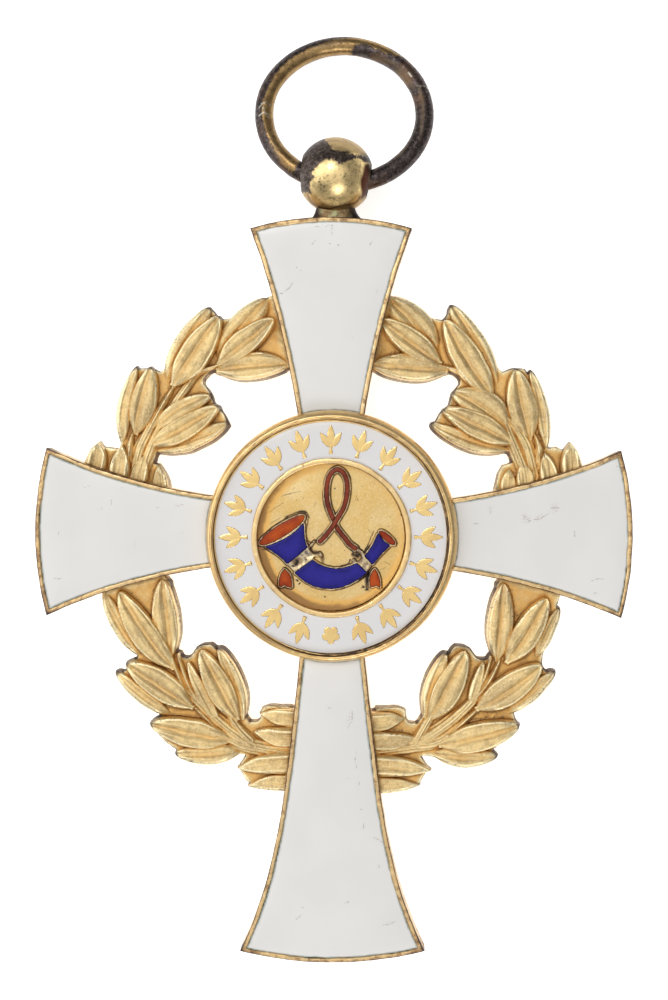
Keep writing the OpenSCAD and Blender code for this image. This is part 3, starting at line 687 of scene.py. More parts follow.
def bright_gilt(name, base, rough, tarnish):
    """Rims and collar: worn bright gilding, brown where it is thin, dark at the edges, and darker where the
    mesh's dark value paints shade into gaps, grooves and walls.
    """
    p = Paint(name, base, plain_back=True)
    p.lay((0.72, 0.50, 0.24), p.noise(1.1, 3).step(0.35, 0.68))
    p.lay((0.95, 0.77, 0.45), p.noise(0.35, 4).step(0.5, 0.75, 0, 0.6))
    # The dark value brings both wear and painted shade into this mix.
    worn = p.noise(0.6, 5, 0.7) + p.value("dark") * 0.5 + p.upward.step(0.1, 0.7, -0.13, 0.0)
    p.lay((0.30, 0.17, 0.09), worn.step(tarnish, tarnish + 0.14, 0, 0.75))
    p.lay((0.07, 0.055, 0.05), worn.step(tarnish + 0.16, tarnish + 0.3, 0, 0.9))
    shine = worn.step(tarnish - 0.1, tarnish + 0.2, rough, rough + 0.22)
    return p.done(shine, p.noise(0.25, 3) + p.noise(0.06, 2), 0.008, 0.7)


def field_gilt():
    """The medallion's field: satin gold, with painted shade towards its edge, orange and then dark brown, and
    with dark dirt by the horn.
    """
    p = Paint("field_gilt", (0.70, 0.465, 0.165))
    p.lay((0.75, 0.555, 0.26), p.noise(1.7, 3).step(0.35, 0.7))
    p.lay((0.95, 0.82, 0.55), p.noise(0.10, 3).step(0.45, 0.75, 0, 0.35))
    p.lay((0.50, 0.34, 0.13), p.noise(0.16, 3).step(0.56, 0.70, 0, 0.35))
    p.lay((0.60, 0.42, 0.16), p.value("shade") * 0.35)
    # Painted shade towards the field's edge, orange and then dark brown, strongest at the lower left.
    rim = p.value("rim") + p.noise(0.9, 4) * 0.35
    p.lay((0.76, 0.42, 0.11), rim.step(0.60, 1.05, 0, 0.8))
    p.lay((0.22, 0.11, 0.05), rim.step(1.02, 1.3, 0, 0.8))
    bare = p.mix(p.noise(0.30, 4).step(0.38, 0.52), (0.20, 0.16, 0.14), (0.56, 0.46, 0.30))
    p.lay(bare, p.value("silver"))
    dirt = p.value("dirt") + p.noise(0.14, 4, 0.7) * 0.5
    p.lay((0.20, 0.12, 0.07), dirt.step(0.62, 0.95, 0, 0.7))
    p.lay((0.035, 0.03, 0.028), dirt.step(0.95, 1.2, 0, 0.95))
    p.lay((0.14, 0.08, 0.04), p.cells(0.55).step(0.10, 0.05, 0, 0.6))
    brushing = p.noise(0.09, 2, stretch=(1, 12, 1), turn=0.5)
    return p.done(dirt.step(0.7, 1.0, 0.30, 0.6), brushing * 0.6 + p.noise(0.06, 3), 0.008, 0.7)


def ornament_gilt():
    """The band's ornaments: flat bright gold with a brown line along the enamel."""
    p = Paint("ornament_gilt", (0.86, 0.62, 0.26))
    p.lay((0.76, 0.53, 0.22), p.noise(2.5, 2).step(0.35, 0.7))
    p.lay((0.30, 0.20, 0.13), p.value("edge").step(0.045, 0.010, 0, 0.85))
    return p.done(0.26, p.noise(0.08, 3), 0.006, 0.6)


def white_enamel(name, colour, edge_tint, edge_width):
    """White enamel: glossy, faintly uneven, tinted along the metal, with pits and hairlines."""
    p = Paint(name, colour, {"IOR": 1.52, "Coat Weight": 0.15, "Coat Roughness": 0.12})
    p.lay(scaled(colour, 0.965), p.noise(5.0, 2).step(0.35, 0.7))
    edge = p.value("edge") + p.noise(0.7, 3) * edge_width
    p.lay(edge_tint, edge.step(edge_width * 1.5, edge_width * 0.55, 0, 0.75))
    p.lay((0.20, 0.13, 0.09), p.cells(1.7).step(0.03, 0.012, 0, 0.55))
    hairs = p.noise(0.07, 1, stretch=(1, 16, 1), turn=0.6).step(0.74, 0.80, 0, 0.25)
    p.lay((0.45, 0.42, 0.38), hairs * p.noise(2.4, 1).step(0.52, 0.62))
    stains = p.noise(0.16, 4, 0.7, stretch=(1, 2.5, 1), turn=0.4).step(0.53, 0.62, 0, 0.55)
    p.lay((0.36, 0.24, 0.19), stains * p.value("mark"))
    stroke = p.value("stroke") + (p.noise(0.12, 3) - 0.5) * 0.10
    p.lay((0.30, 0.24, 0.20), stroke.step(0.06, 0.02, 0, 0.55))
    return p.done(p.noise(3.0, 3).step(0.3, 0.7, 0.30, 0.38), p.noise(1.3, 2), 0.012, 0.5)


def glass_enamel(name, deep, light):
    """Coloured enamel: glossy, with a painted highlight in its middle, deeper along its edges, with fine
    bubbles.
    """
    p = Paint(name, deep, {"IOR": 1.42, "Specular IOR Level": 0.28})
    edge = p.value("edge")
    p.lay(light, p.noise(0.9, 3).step(0.3, 0.7))
    # A painted highlight: lighter colour in the middle of each cell.
    middle = (edge + p.noise(0.8, 2) * 0.35).step(0.25, 0.70, 0, 0.5)
    p.lay(tuple(0.008 + 1.45 * c for c in light), middle)
    p.lay(scaled(deep, 0.35), edge.step(0.06, 0.0, 0, 0.3))
    p.lay(scaled(deep, 0.5), p.cells(0.33).step(0.11, 0.05, 0, 0.35))
    return p.done(p.noise(0.5, 3).step(0.3, 0.7, 0.2, 0.32), p.noise(0.6, 2), 0.01, 0.5)


def worn_wire(name, gold, dark, dull_and_shade, rust):
    """Ring and ball: patches of gilding left on dark, tarnished silver, both mottled."""
    p = Paint(name, gold)
    patches = p.value("gold") + (p.noise(0.45, 6, 0.75) - 0.5) * 1.7 + (p.noise(0.11, 3, 0.6) - 0.5) * 1.2
    gilt = patches.step(-0.16, 0.16)
    p.lay(scaled(gold, 0.75), p.noise(0.8, 3).step(0.35, 0.7))
    p.lay(scaled(gold, 0.35), p.noise(0.22, 5, 0.7).step(0.48, 0.66, 0, 0.75))
    bare = p.mix(p.noise(0.25, 5, 0.7).step(0.42, 0.66), dark, scaled(dark, 3.2))
    bare = p.mix(p.noise(0.12, 4, 0.7).step(0.56, 0.70, 0, 0.6), bare, (0.24, 0.17, 0.12))
    p.lay(bare, patches.step(0.16, -0.16))
    # The tint value lays the dull tone. On the ball it is partly painted shade towards the outline.
    p.lay(dull_and_shade, p.value("tint"))
    p.lay(rust, p.value("red"))
    p.lay((0.022, 0.019, 0.018), p.value("black"))
    p.lay((0.60, 0.56, 0.46), p.value("pale"))
    p.lay((0.34, 0.36, 0.20), p.value("green"))
    p.lay((0.06, 0.045, 0.035), p.cells(0.26).step(0.22, 0.10, 0, 0.8) * p.noise(0.9, 2).step(0.48, 0.60))
    shine = gilt.step(0.0, 1.0, 0.42, 0.32) + p.value("tint") * 0.15
    return p.done(shine, p.noise(0.14, 5, 0.65) + gilt * 0.5, 0.014, 0.7)


FROSTED = frosted_gilt()
BRIGHT = bright_gilt("bright_gilt", (0.80, 0.57, 0.26), 0.34, 0.62)
RIM_GILT = bright_gilt("rim_gilt", (0.66, 0.47, 0.24), 0.34, 0.53)
PLAIN_BACK = bright_gilt("back_gilt", (0.86, 0.62, 0.29), 0.3, 0.72)
FIELD = field_gilt()
ORNAMENT = ornament_gilt()
ARM_WHITE = white_enamel("arm_white", (0.788, 0.772, 0.745), (0.16, 0.24, 0.22), 0.14)
BAND_WHITE = white_enamel("band_white", (0.76, 0.745, 0.74), (0.50, 0.46, 0.42), 0.04)
BLUE = glass_enamel("cobalt_blue", (0.008, 0.005, 0.14), (0.014, 0.010, 0.21))
ORANGE = glass_enamel("orange_red", (0.29, 0.030, 0.002), (0.44, 0.066, 0.004))
DARK_RED = glass_enamel("dark_red", (0.22, 0.020, 0.003), (0.34, 0.04, 0.005))
CORD_BROWN = glass_enamel("cord_brown", (0.15, 0.022, 0.008), (0.26, 0.045, 0.016))
# Worn metals: tones of the gilding, of the bare silver, of dull parts and painted shade, and of rust.
BALL_TONES = (0.97, 0.73, 0.35), (0.050, 0.038, 0.033), (0.30, 0.20, 0.10), (0.055, 0.016, 0.007)
RING_TONES = (0.38, 0.245, 0.105), (0.040, 0.032, 0.031), (0.24, 0.17, 0.11), (0.20, 0.10, 0.04)
BALL_METAL = worn_wire("worn_ball", *BALL_TONES)
RING_METAL = worn_wire("worn_ring", *RING_TONES)


# Arms

SIDE_STEPS, END_STEPS = 120, 70
SIDE_SAMPLES, SIDE_OVERRUN = 400, 1.06
# Each arm takes its unevenness from another place, this far on.
SEED_SHIFT = 40
RIM_W = 0.34
# The enamel starts this far under the rim, and its surface is this high at its edge and domed by this much.
KEYED, SKIN_EDGE, SKIN_DOME = 0.06, 3.70, 0.09
SKIN_STEP, SKIN_WALL = 0.10, 12
SKIN_FLOOR = CELL_FLOOR + 0.04
# Cross-section of an arm's frame from back to cell: distance in from the outline, height, and 1 on the inner
# side, where the rim's width is added.
FRAME_SECTION = [
    (0.30, ARM_Z, 0), (0.12, ARM_Z, 0), (0.04, 1.63, 0), (0.0, 1.72, 0), (-0.01, 2.6, 0), (0.0, 3.45, 0),
    (0.0, 3.64, 0), (0.015, 3.73, 0), (0.045, 3.785, 0), (0.09, ARM_TOP, 0), (-0.09, ARM_TOP, 1),
    (-0.05, 3.785, 1), (-0.015, 3.74, 1), (0.0, 3.66, 1), (0.0, 3.05, 1),
]
# Scratched and stained spots on the enamel: centre, half sizes, turn and weight.
MARKS = [
    (-1.23, 20.68, 0.16, 0.05, 48, 1), (2.80, 20.58, 0.21, 0.05, 66, 0.8), (-2.42, 18.95, 0.06, 0.05, 0, 1),
    (-2.10, 18.70, 0.05, 0.05, 0, 0.8), (-3.05, 17.50, 0.52, 0.05, 45, 1),
    (-3.52, 17.10, 0.14, 0.05, -20, 1), (0.51, 20.50, 0.06, 0.06, 0, 1), (-0.10, 20.60, 0.05, 0.05, 0, 0.8),
    (-0.6, 21.9, 0.80, 0.10, 3, 0.6), (0.1, 21.5, 0.22, 0.30, 0, 0.6), (3.2, 17.3, 0.06, 0.20, 0, 0.8),
    (-17.1, 3.5, 0.25, 0.10, 10, 0.5), (-14.7, 3.45, 0.12, 0.10, 0, 0.5), (-15.4, 2.45, 0.10, 0.20, 0, 0.4),
    (-16.1, 1.95, 0.08, 0.10, 0, 0.6), (-12.2, 2.05, 0.10, 0.07, 0, 0.7), (-10.7, 2.25, 0.35, 0.10, 8, 0.6),
    (-19.1, 0.3, 0.07, 0.16, 0, 0.5), (-13.8, -0.6, 0.15, 0.35, 0, 0.3), (-15.5, -0.7, 0.06, 0.06, 0, 0.7),
    (-19.2, -2.9, 0.30, 0.15, 0, 0.6), (10.2, 0.9, 0.20, 0.10, 0, 1), (11.2, 1.9, 0.15, 0.25, 0, 0.6),
    (13.7, 1.3, 0.35, 0.30, -50, 1), (14.6, 1.4, 0.70, 0.20, 20, 0.9), (15.7, 2.0, 0.35, 0.35, 0, 1),
    (17.1, 0.2, 0.07, 0.20, 0, 1), (18.7, -3.0, 0.40, 0.10, 10, 0.9), (18.5, -3.9, 0.20, 0.15, 0, 0.8),
    (-0.1, -12.0, 0.12, 0.12, 0, 0.9), (1.35, -12.8, 0.25, 0.60, -15, 0.8),
    (1.8, -15.6, 0.15, 0.60, 0, 0.6), (1.9, -17.3, 0.25, 0.45, 0, 0.5), (2.15, -19.1, 0.10, 0.10, 0, 1),
    (2.25, -20.3, 0.12, 0.20, 0, 0.9), (3.3, -21.3, 0.35, 0.15, -30, 0.8), (3.35, -23.1, 0.10, 0.15, 0, 1),
    (-2.0, -26.0, 0.08, 0.08, 0, 1), (-2.3, -26.7, 0.25, 0.12, 40, 0.7), (1.1, -25.7, 0.20, 0.10, 30, 0.9),
    (4.1, -27.1, 0.45, 0.10, 15, 0.8),
]
# Distance given where there is no scratch, and how far a scratch bends, as a share of its half length.
NO_STROKE, STROKE_BEND = 0.3, 0.2


def arm_loop(reach, root, tip, flare, inset=0.0):
    """Outline of an arm that points along +Y, moved in by a distance, with its root in the collar."""
    arc_r = (tip * tip + END_BULGE * END_BULGE) / (2 * END_BULGE)
    arc_y = reach - arc_r
    # The flared side, sampled past the corner, moved in and cut off where it meets the end's arc.
    t = np.linspace(0, SIDE_OVERRUN, SIDE_SAMPLES)
    half = root + (tip - root) * (flare[0] * t + (1 - flare[0]) * t ** flare[1])
    side = np.stack([half, ARM_ROOT + t * (reach - END_BULGE - ARM_ROOT)], 1)
    run = np.gradient(side, axis=0)
    outward = np.stack([run[:, 1], -run[:, 0]], 1) / np.linalg.norm(run, axis=1)[:, None]
    side = np.concatenate([[(root - inset, BURIED_ROOT)], side - inset * outward])
    beyond = np.hypot(side[:, 0], side[:, 1] - arc_y) - (arc_r - inset)
    n = int(np.argmax((beyond > 0) & (side[:, 1] > arc_y)))
    corner = side[n - 1] + (side[n] - side[n - 1]) * beyond[n - 1] / (beyond[n - 1] - beyond[n])
    side = np.concatenate([side[:n], [corner]])
    # Evenly spaced points, so that all of an arm's loops match.
    way = np.concatenate([[0], np.cumsum(np.linalg.norm(np.diff(side, axis=0), axis=1))])
    even = np.linspace(0, way[-1], SIDE_STEPS)
    side = np.stack([np.interp(even, way, side[:, k]) for k in (0, 1)], 1)
    end = math.atan2(corner[0], corner[1] - arc_y) * np.linspace(1, -1, END_STEPS)[1:-1]
    arc = np.stack([(arc_r - inset) * np.sin(end), arc_y + (arc_r - inset) * np.cos(end)], 1)
    return np.concatenate([side, arc, side[::-1] * (-1, 1)])


def mark_strokes(x, y):
    """Distance to the scratch that runs along the longer side of each mark."""
    best = np.full(np.shape(x), NO_STROKE)
    for n, (cx, cy, rx, ry, turn, weight) in enumerate(MARKS):
        angle = math.radians(turn if rx >= ry else turn + 90)
        along = max(rx, ry) * np.array([math.cos(angle), math.sin(angle)])
        middle = (cx, cy) + (STROKE_BEND if n % 2 else -STROKE_BEND) * np.array([-along[1], along[0]])
        line = [(cx, cy) - along, middle, (cx, cy) + along]
        best = np.minimum(best, line_distance(x, y, line)[0] + 0.03 * (1 - weight))
    return best


def build_arm_frame(name, shape, turns, shift, seed):
    """The metal of one arm: back, walls and an uneven rim, dark at its outer edge and its corners, with
    painted shade on the walls below the rim's top.
    """
    reach, _, tip, _ = shape
    outline = arm_loop(*shape)
    x, y = outline[:, 0] + SEED_SHIFT * seed, outline[:, 1]
    ripple = lumps(x, y, (0.016, 1.1, seed), (0.010, 0.35, seed + 50))
    extra = RIM_W * lumps(x, y, (0.12, 1.6, seed + 100), (0.07, 0.45, seed + 150))
    lift = lumps(x, y, (0.020, 1.3, seed + 200), (0.010, 0.4, seed + 250))
    corner = hump(np.hypot(np.abs(outline[:, 0]) - tip, y - reach + END_BULGE), 1.1)
    end = smooth(y, reach - 1.2, reach - 0.8)
    loops, dark = [], []
    for inward, z, inner in FRAME_SECTION:
        inset = inward + inner * RIM_W
        loop = moved_out(arm_loop(*shape, inset=inset), ripple - inner * extra)
        top = float(smooth(z, 3.45, 3.7))
        loops.append(np.column_stack([quarter_turned(loop, turns, shift), z + lift * top]))
        outer = 1 - float(smooth(inset, 0.01, 0.10))
        worn = (0.35 * corner + 0.2 * end) * (1 - 0.6 * inner)
        # The walls below the rim's top get painted shade.
        dark.append(0.02 + 0.85 * outer * top + worn + 0.25 * (z < 3.6))
    verts, faces = lofted(loops, ends=True)
    add_piece(f"arm_{name}_frame", verts, faces, RIM_GILT, values={"dark": np.concatenate(dark)}, crisp=50)


def build_arm_enamel(name, shape, turns, shift, seed):
    """The domed white enamel in an arm's cell."""
    cell = quarter_turned(arm_loop(*shape, inset=RIM_W - KEYED), turns, shift)
    x, y = grid(cell.min(0) - 0.3, cell.max(0) + 0.3, SKIN_STEP)
    foot = FOOT_R - KEYED - np.hypot(x - FOOT_SHIFT, y - FOOT_SHIFT)
    near = np.maximum(signed_distance(x, y, cell), foot)
    inside = np.maximum(-near - KEYED, 0)
    dome = SKIN_DOME * domed(inside, 0.6)
    far = SEED_SHIFT * seed
    sway = 0.020 * noise(x + far, y, 3.1, seed + 300) + 0.008 * noise(x, y + far, 1.2, seed + 350)
    z = SKIN_EDGE + dome + sway * smooth(inside, 0.1, 1.0) - SKIN_WALL * np.maximum(near, 0)
    values = {"edge": inside, "mark": np.clip(blobs(x, y, MARKS), 0, 1), "stroke": mark_strokes(x, y)}
    add_relief(
        f"enamel_{name}_skin", x, y, z, SKIN_FLOOR, values, ARM_WHITE,
        nodes=(f"enamel_{name}",), slot="white_enamel",
    )


# Wreath

# The height field's step, and its margin round the leaves.
WREATH_STEP, WREATH_MARGIN = 0.047, 0.8
# The plate's height, its rise by the arms, and how much higher each leaf lies than the one before.
GROUND_Z, ARM_RISE, LEAF_LIFT = 2.32, 0.40, 0.004
# What is above BODY_Z counts as the body. Its borders are worn, and most of all round the leaves' tips.
BODY_Z, TIP_SPREAD = 2.15, 0.40
# Stems: height, rise of the middle, and rise and width of their ridges.
STEM_Z, STEM_RISE, RIDGE_RISE, RIDGE_WIDTH = 2.42, 0.36, 0.045, 0.24
# Leaves: height of each layer, and rise of its edge, of the lobes, of the rib, of folds and of streaks.
LAYER_Z = (2.50, 2.68, 2.86)
LAYER_EDGE = (0.02, 0.045, 0.075)
LOBE_RISE, RIB_RISE, FOLD_RISE, STREAK_RISE = 0.21, 0.085, 0.05, 0.016
EDGE_HALF, RIB_HALF, FOLD_WIDTH = 0.05, 0.05, 0.52
# A lobe is highest at this share of the way from the rib to the edge.
CROWN = 0.48
# A leaf rounds off to its tip from this share of its length, and isn't narrower than this at its stalk.
TIP_FROM, STALK_SHARE = 0.53, 0.2
# A leaf is lower at its base and its tip, a short leaf is higher at its root.
BASE_DROP, TIP_DROP, ROOT_RISE = 0.24, 0.08, 0.10
# A leaf's edge falls this steeply for its first part, and then almost straight down.
EDGE_SLOPE, EDGE_DROP, WALL_SLOPE = 3.5, 0.28, 12.0
# Below WALL_TOP the walls lean out. Copies of them that reach up to LEAN_TOP are moved by LEAN cells in x
# and y for each step, up to LEAN_CELLS steps, and fall by LEAN_SLOPE.
WALL_TOP, LEAN, LEAN_CELLS, LEAN_TOP, LEAN_SLOPE = 2.2, 0.7, 5, 2.35, 2.8


def falling(outside):
    """How far a surface has fallen at a distance outside its outline."""
    d = np.maximum(outside, 0)
    knee = EDGE_DROP / EDGE_SLOPE
    return np.where(d < knee, EDGE_SLOPE * d, EDGE_DROP + WALL_SLOPE * (d - knee))


def welded(a, b, reach=0.05):
    """The higher of two surfaces with a soft seam between them."""
    return np.maximum(a, b) + np.maximum(reach - np.abs(a - b), 0) ** 2 / (4 * reach)


def leaf_place(x, y, leaf, seed, stub):
    """Way along a leaf, its share, distance from the rib, half width, and distance inside the outline."""
    bx, by, tx, ty, left, right, bend, _ = leaf
    length = math.hypot(tx - bx, ty - by)
    dx, dy = (tx - bx) / length, (ty - by) / length
    t = ((x - bx) * dx + (y - by) * dy) / length
    tc = np.clip(t, 1e-6, 1 - 1e-6)
    s = -(x - bx) * dy + (y - by) * dx - bend * 4 * tc * (1 - tc)
    s = s + 0.03 * noise(tc * length, s * 0.4 + seed * 3.1, 0.9, seed + 5)
    if stub:
        share = (1 - tc**2.2) ** 0.85
    else:
        arch = np.sin(math.pi * tc**0.9)
        share = np.maximum(np.where(tc < TIP_FROM, arch**0.8, arch**0.52), STALK_SHARE * (tc < 0.5))
    half = np.where(s > 0, left, right) * share
    lean = np.hypot(np.gradient(share, axis=1), np.gradient(share, axis=0)) / WREATH_STEP * max(left, right)
    inside = (half - np.abs(s)) / np.sqrt(1 + np.minimum(lean, 2.5) ** 2)
    beyond = np.maximum(0 if stub else -t, t - 1) * length
    inside = np.where(beyond > 0, -np.hypot(beyond, np.maximum(np.abs(s) - half, 0)), inside)
    return tc * length, tc, s, half, inside


def leaf_heights(x, y, leaf, seed, stub=False):
    """Height of one leaf: two crowned lobes, a fine rib in the valley, a raised edge and streaks."""
    layer = leaf[-1]
    way, t, s, half, inside = leaf_place(x, y, leaf, seed, stub)
    across = np.abs(s) / np.maximum(half, 0.05)
    inner = 1 - 0.9 * np.abs((across - CROWN) / CROWN) ** 1.7
    outer = 1 - 0.8 * ((across - CROWN) / (1 - CROWN)) ** 2
    lobe = np.clip(half / 0.6, 0, 1.35) * np.where(across < CROWN, inner, outer)
    rib = hump(s, RIB_HALF) * smooth(t, 0.02, 0.15) * (1 - smooth(t, 0.84, 0.98))
    edge = hump(inside - EDGE_HALF, EDGE_HALF) * smooth(t, 0.08, 0.3)
    streaks = noise(s, way * 0.10 + seed, 0.13, seed) + 0.6 * noise(s, way * 0.08, 0.06, seed + 9)
    z = LAYER_Z[layer] + LOBE_RISE * lobe + RIB_RISE * rib + LAYER_EDGE[layer] * edge
    z = z + STREAK_RISE * streaks - falling(-inside)
    if stub:
        folds = FOLD_RISE * np.cos(TURN * s / FOLD_WIDTH) * (1 - smooth(t, 0.5, 0.95))
        return z + folds + ROOT_RISE * (1 - t) - ROOT_RISE * smooth(t, 0.7, 1)
    return z - BASE_DROP * (1 - smooth(t, 0, 0.25)) - TIP_DROP * smooth(t, 0.8, 1)


def wreath_heights(x, y, leaves, stubs, stems, ground, arm_near, seed):
    """Height of a quarter of the wreath: the plate, the stems over it, and the leaves over both."""
    z = GROUND_Z + lumps(x, y, (0.05, 1.5, seed), (0.03, 0.4, seed + 1))
    z = z + ARM_RISE * np.exp(-np.maximum(arm_near, 0) / 0.35)
    z = z - WALL_SLOPE * np.maximum(signed_distance(x, y, softened(ground, 1)) + 0.04, 0)
    for line, half in stems:
        d, share = line_distance(x, y, spline(line, 4))
        width = half * (1.35 - 1.05 * share**1.5)
        ridges = RIDGE_RISE * np.cos(TURN * d / RIDGE_WIDTH) + 0.03 * noise(d * 6, share * 9, 1, seed + 77)
        top = STEM_Z + STEM_RISE * (1 - np.clip(d / width, 0, 1) ** 2) + ridges * (d < width)
        z = welded(z, top - falling(d - width))
    for first, rows in ((10, leaves), (40, stubs)):
        for n, leaf in enumerate(rows):
            above = leaf_heights(x, y, leaf, seed + first + n, stub=rows is stubs) + LEAF_LIFT * n
            z = welded(z, above, 0.03)
    return z


def with_leaning_walls(z, lean):
    """The height field with walls that lean out towards the middle of the medal."""
    leant = z
    wide = np.pad(z, LEAN_CELLS, constant_values=-1)
    for k in np.arange(1, LEAN_CELLS + 1, 0.5):
        moved = slid(wide, k * lean[0], k * lean[1])[LEAN_CELLS:-LEAN_CELLS, LEAN_CELLS:-LEAN_CELLS]
        lower = np.minimum(moved, LEAN_TOP) - LEAN_SLOPE * k * WREATH_STEP
        leant = np.where(z < WALL_TOP, np.maximum(leant, lower), leant)
    return np.where(z < WALL_TOP, blurred(leant, 1.2), z)


def wreath_values(x, y, z, tips, arm_near):
    """Grooves and crests, steep sides, worn borders and tips of leaves, and the creases by the arms. The
    material paints shade into the grooves, the low steep sides and the creases.
    """
    # cavity is positive in grooves and on the low plate, where the material paints shade, and negative on
    # crests.
    cavity = np.clip((blurred(z, 3.2) - z) / 0.13, -1.5, 1.5) + 0.35 * smooth(2.56 - z, 0, 0.16)
    gy, gx = np.gradient(z, WREATH_STEP)
    # Low steep sides, which the material darkens as painted shade.
    steep = smooth(np.hypot(gx, gy), 1.2, 2.2) * smooth(STEM_Z - z, 0, 0.15)
    body = blurred((z > BODY_Z).astype(float), 1.6)
    border = (1 - smooth(body, 0.62, 0.92)) * (arm_near > 0.1)
    near_tip = np.max([np.exp(-(((x - tx) ** 2 + (y - ty) ** 2) / TIP_SPREAD)) for tx, ty in tips], axis=0)
    border = border + 1.1 * near_tip * (1 - smooth(blurred(body, 3.0), 0.80, 1.0)) * (arm_near > 0.3)
    # Painted shade in the crease where the wreath runs under the arms.
    arm_crease_shade = np.exp(-np.maximum(arm_near - 0.02, 0) / 0.10)
    return {"cavity": cavity, "steep": steep, "border": border, "arm_crease_shade": arm_crease_shade}


def build_wreath(name, leaves, stubs, stems, ground, arms, lean, seed):
    """A quarter of the wreath, from its back to its leaves, with its ends a little way inside the arms."""
    tips = np.array(leaves)[:, 2:4]
    points = np.concatenate([ground, tips])
    x, y = grid(points.min(0) - WREATH_MARGIN, points.max(0) + WREATH_MARGIN, WREATH_STEP)
    arm_near = np.min([signed_distance(x, y, arm) for arm in arms], axis=0)
    z = with_leaning_walls(wreath_heights(x, y, leaves, stubs, stems, ground, arm_near, seed), lean)
    values = wreath_values(x, y, z, tips, arm_near)
    z = np.minimum(z, WREATH_BACK - 0.3 + 10 * (arm_near + 0.16))
    z[[0, -1]] = z[:, [0, -1]] = -1
    add_relief(f"wreath_{name}", x, y, z, WREATH_BACK, values, FROSTED, crisp=80)


# Medallion

MEDALLION = ("medallion_disc",)
# Cross-sections of the turned pieces: radius and height.
COLLAR = [
    (7.4, 1.62), (8.70, ARM_Z), (8.79, 1.63), (8.83, 1.72), (FOOT_R, 2.6), (FOOT_R, 3.70), (8.835, 3.92),
    (8.81, 4.12), (8.77, 4.30), (8.71, 4.46), (8.64, 4.58), (8.56, 4.655), (8.48, 4.69), (8.435, 4.688),
    (8.415, 4.665), (8.395, 4.685), (8.35, 4.69), (8.31, 4.66), (8.27, 4.58), (8.25, 4.42), (8.235, 4.26),
    (8.23, 3.1), (7.4, 3.05),
]
BOSS = [
    *((r, 0.03) for r in np.linspace(0.4, BOSS_R - 1.4, 16)),
    (BOSS_R - 1.2, 0.03), (BOSS_R - 0.5, 0.0), (BOSS_R - 0.14, 0.0), (BOSS_R - 0.05, 0.03), (BOSS_R, 0.12),
    (BOSS_R, 1.4), (BOSS_R + 0.06, 1.62), (BOSS_R + 0.06, 1.9),
]
LIP = [
    (BAND_R - 0.9, 3.05), (LIP_R - 0.02, 3.05), (LIP_R, 3.2), (LIP_R, 4.22), (LIP_R - 0.015, 4.27),
    (LIP_R - 0.05, 4.295), (BAND_R + 0.02, 4.28), (BAND_R, 4.24), (BAND_R, 3.6), (BAND_R - 0.9, 3.55),
]
INNER_RIM = [
    (INNER_RIM_R - 0.30, 3.3), (INNER_RIM_R - 0.005, 3.3), (INNER_RIM_R, 4.2), (INNER_RIM_R - 0.01, 4.33),
    (INNER_RIM_R - 0.04, 4.385), (INNER_RIM_R - 0.08, 4.40), (FIELD_R + 0.08, 4.40), (FIELD_R + 0.04, 4.385),
    (FIELD_R + 0.01, 4.34), (FIELD_R - 0.01, 4.1), (FIELD_R - 0.03, 3.3),
]
BAND_EDGE, BAND_DOME, BAND_FLOOR = 4.20, 0.07, 3.7
BAND_ROWS, BAND_STEPS = 26, 300
# The collar's inner side is darkest at this bearing, from painted shade.
DARK_BEARING = -0.6


def handmade(a, r, z, n):
    """A turned piece's radius and height, slightly uneven, with a wider gap at the lower right."""
    x, y = np.cos(a) * 9, np.sin(a) * 9
    sway = 0.010 * noise(x, y, 2.0, 500) + 0.006 * noise(x, y, 0.6, 501 + n % 3)
    groove = 0.11 * smooth(np.cos(a - DARK_BEARING), -0.1, 0.8) * (r < 8.28 and z > 3.2)
    return r + sway * (z > 2) + groove, z + 0.8 * sway * (z > 4.2)


def build_collar():
    verts, faces = turned(COLLAR, 360, handmade, closed=True)
    x, y, height = verts.T.copy()
    radius = np.hypot(x, y)
    verts[:, :2] += FOOT_SHIFT * smooth(radius, 8.5, 8.8)[:, None]
    # Painted shade on the inner wall, deepest at the lower right, and a painted shade line in the groove at
    # 8.415. The outer side is darker too.
    lower_right = smooth(np.cos(np.arctan2(y, x) - DARK_BEARING), -0.1, 0.8)
    dark = 0.02 + (0.30 + 0.6 * lower_right) * smooth(8.33 - radius, 0, 0.06) * smooth(4.62 - height, 0, 0.25)
    dark = dark + 0.22 * hump(radius - 8.415, 0.016) + 0.30 * smooth(radius, 8.76, 8.84)
    add_piece("collar", verts, faces, BRIGHT, values={"dark": dark}, crisp=40)


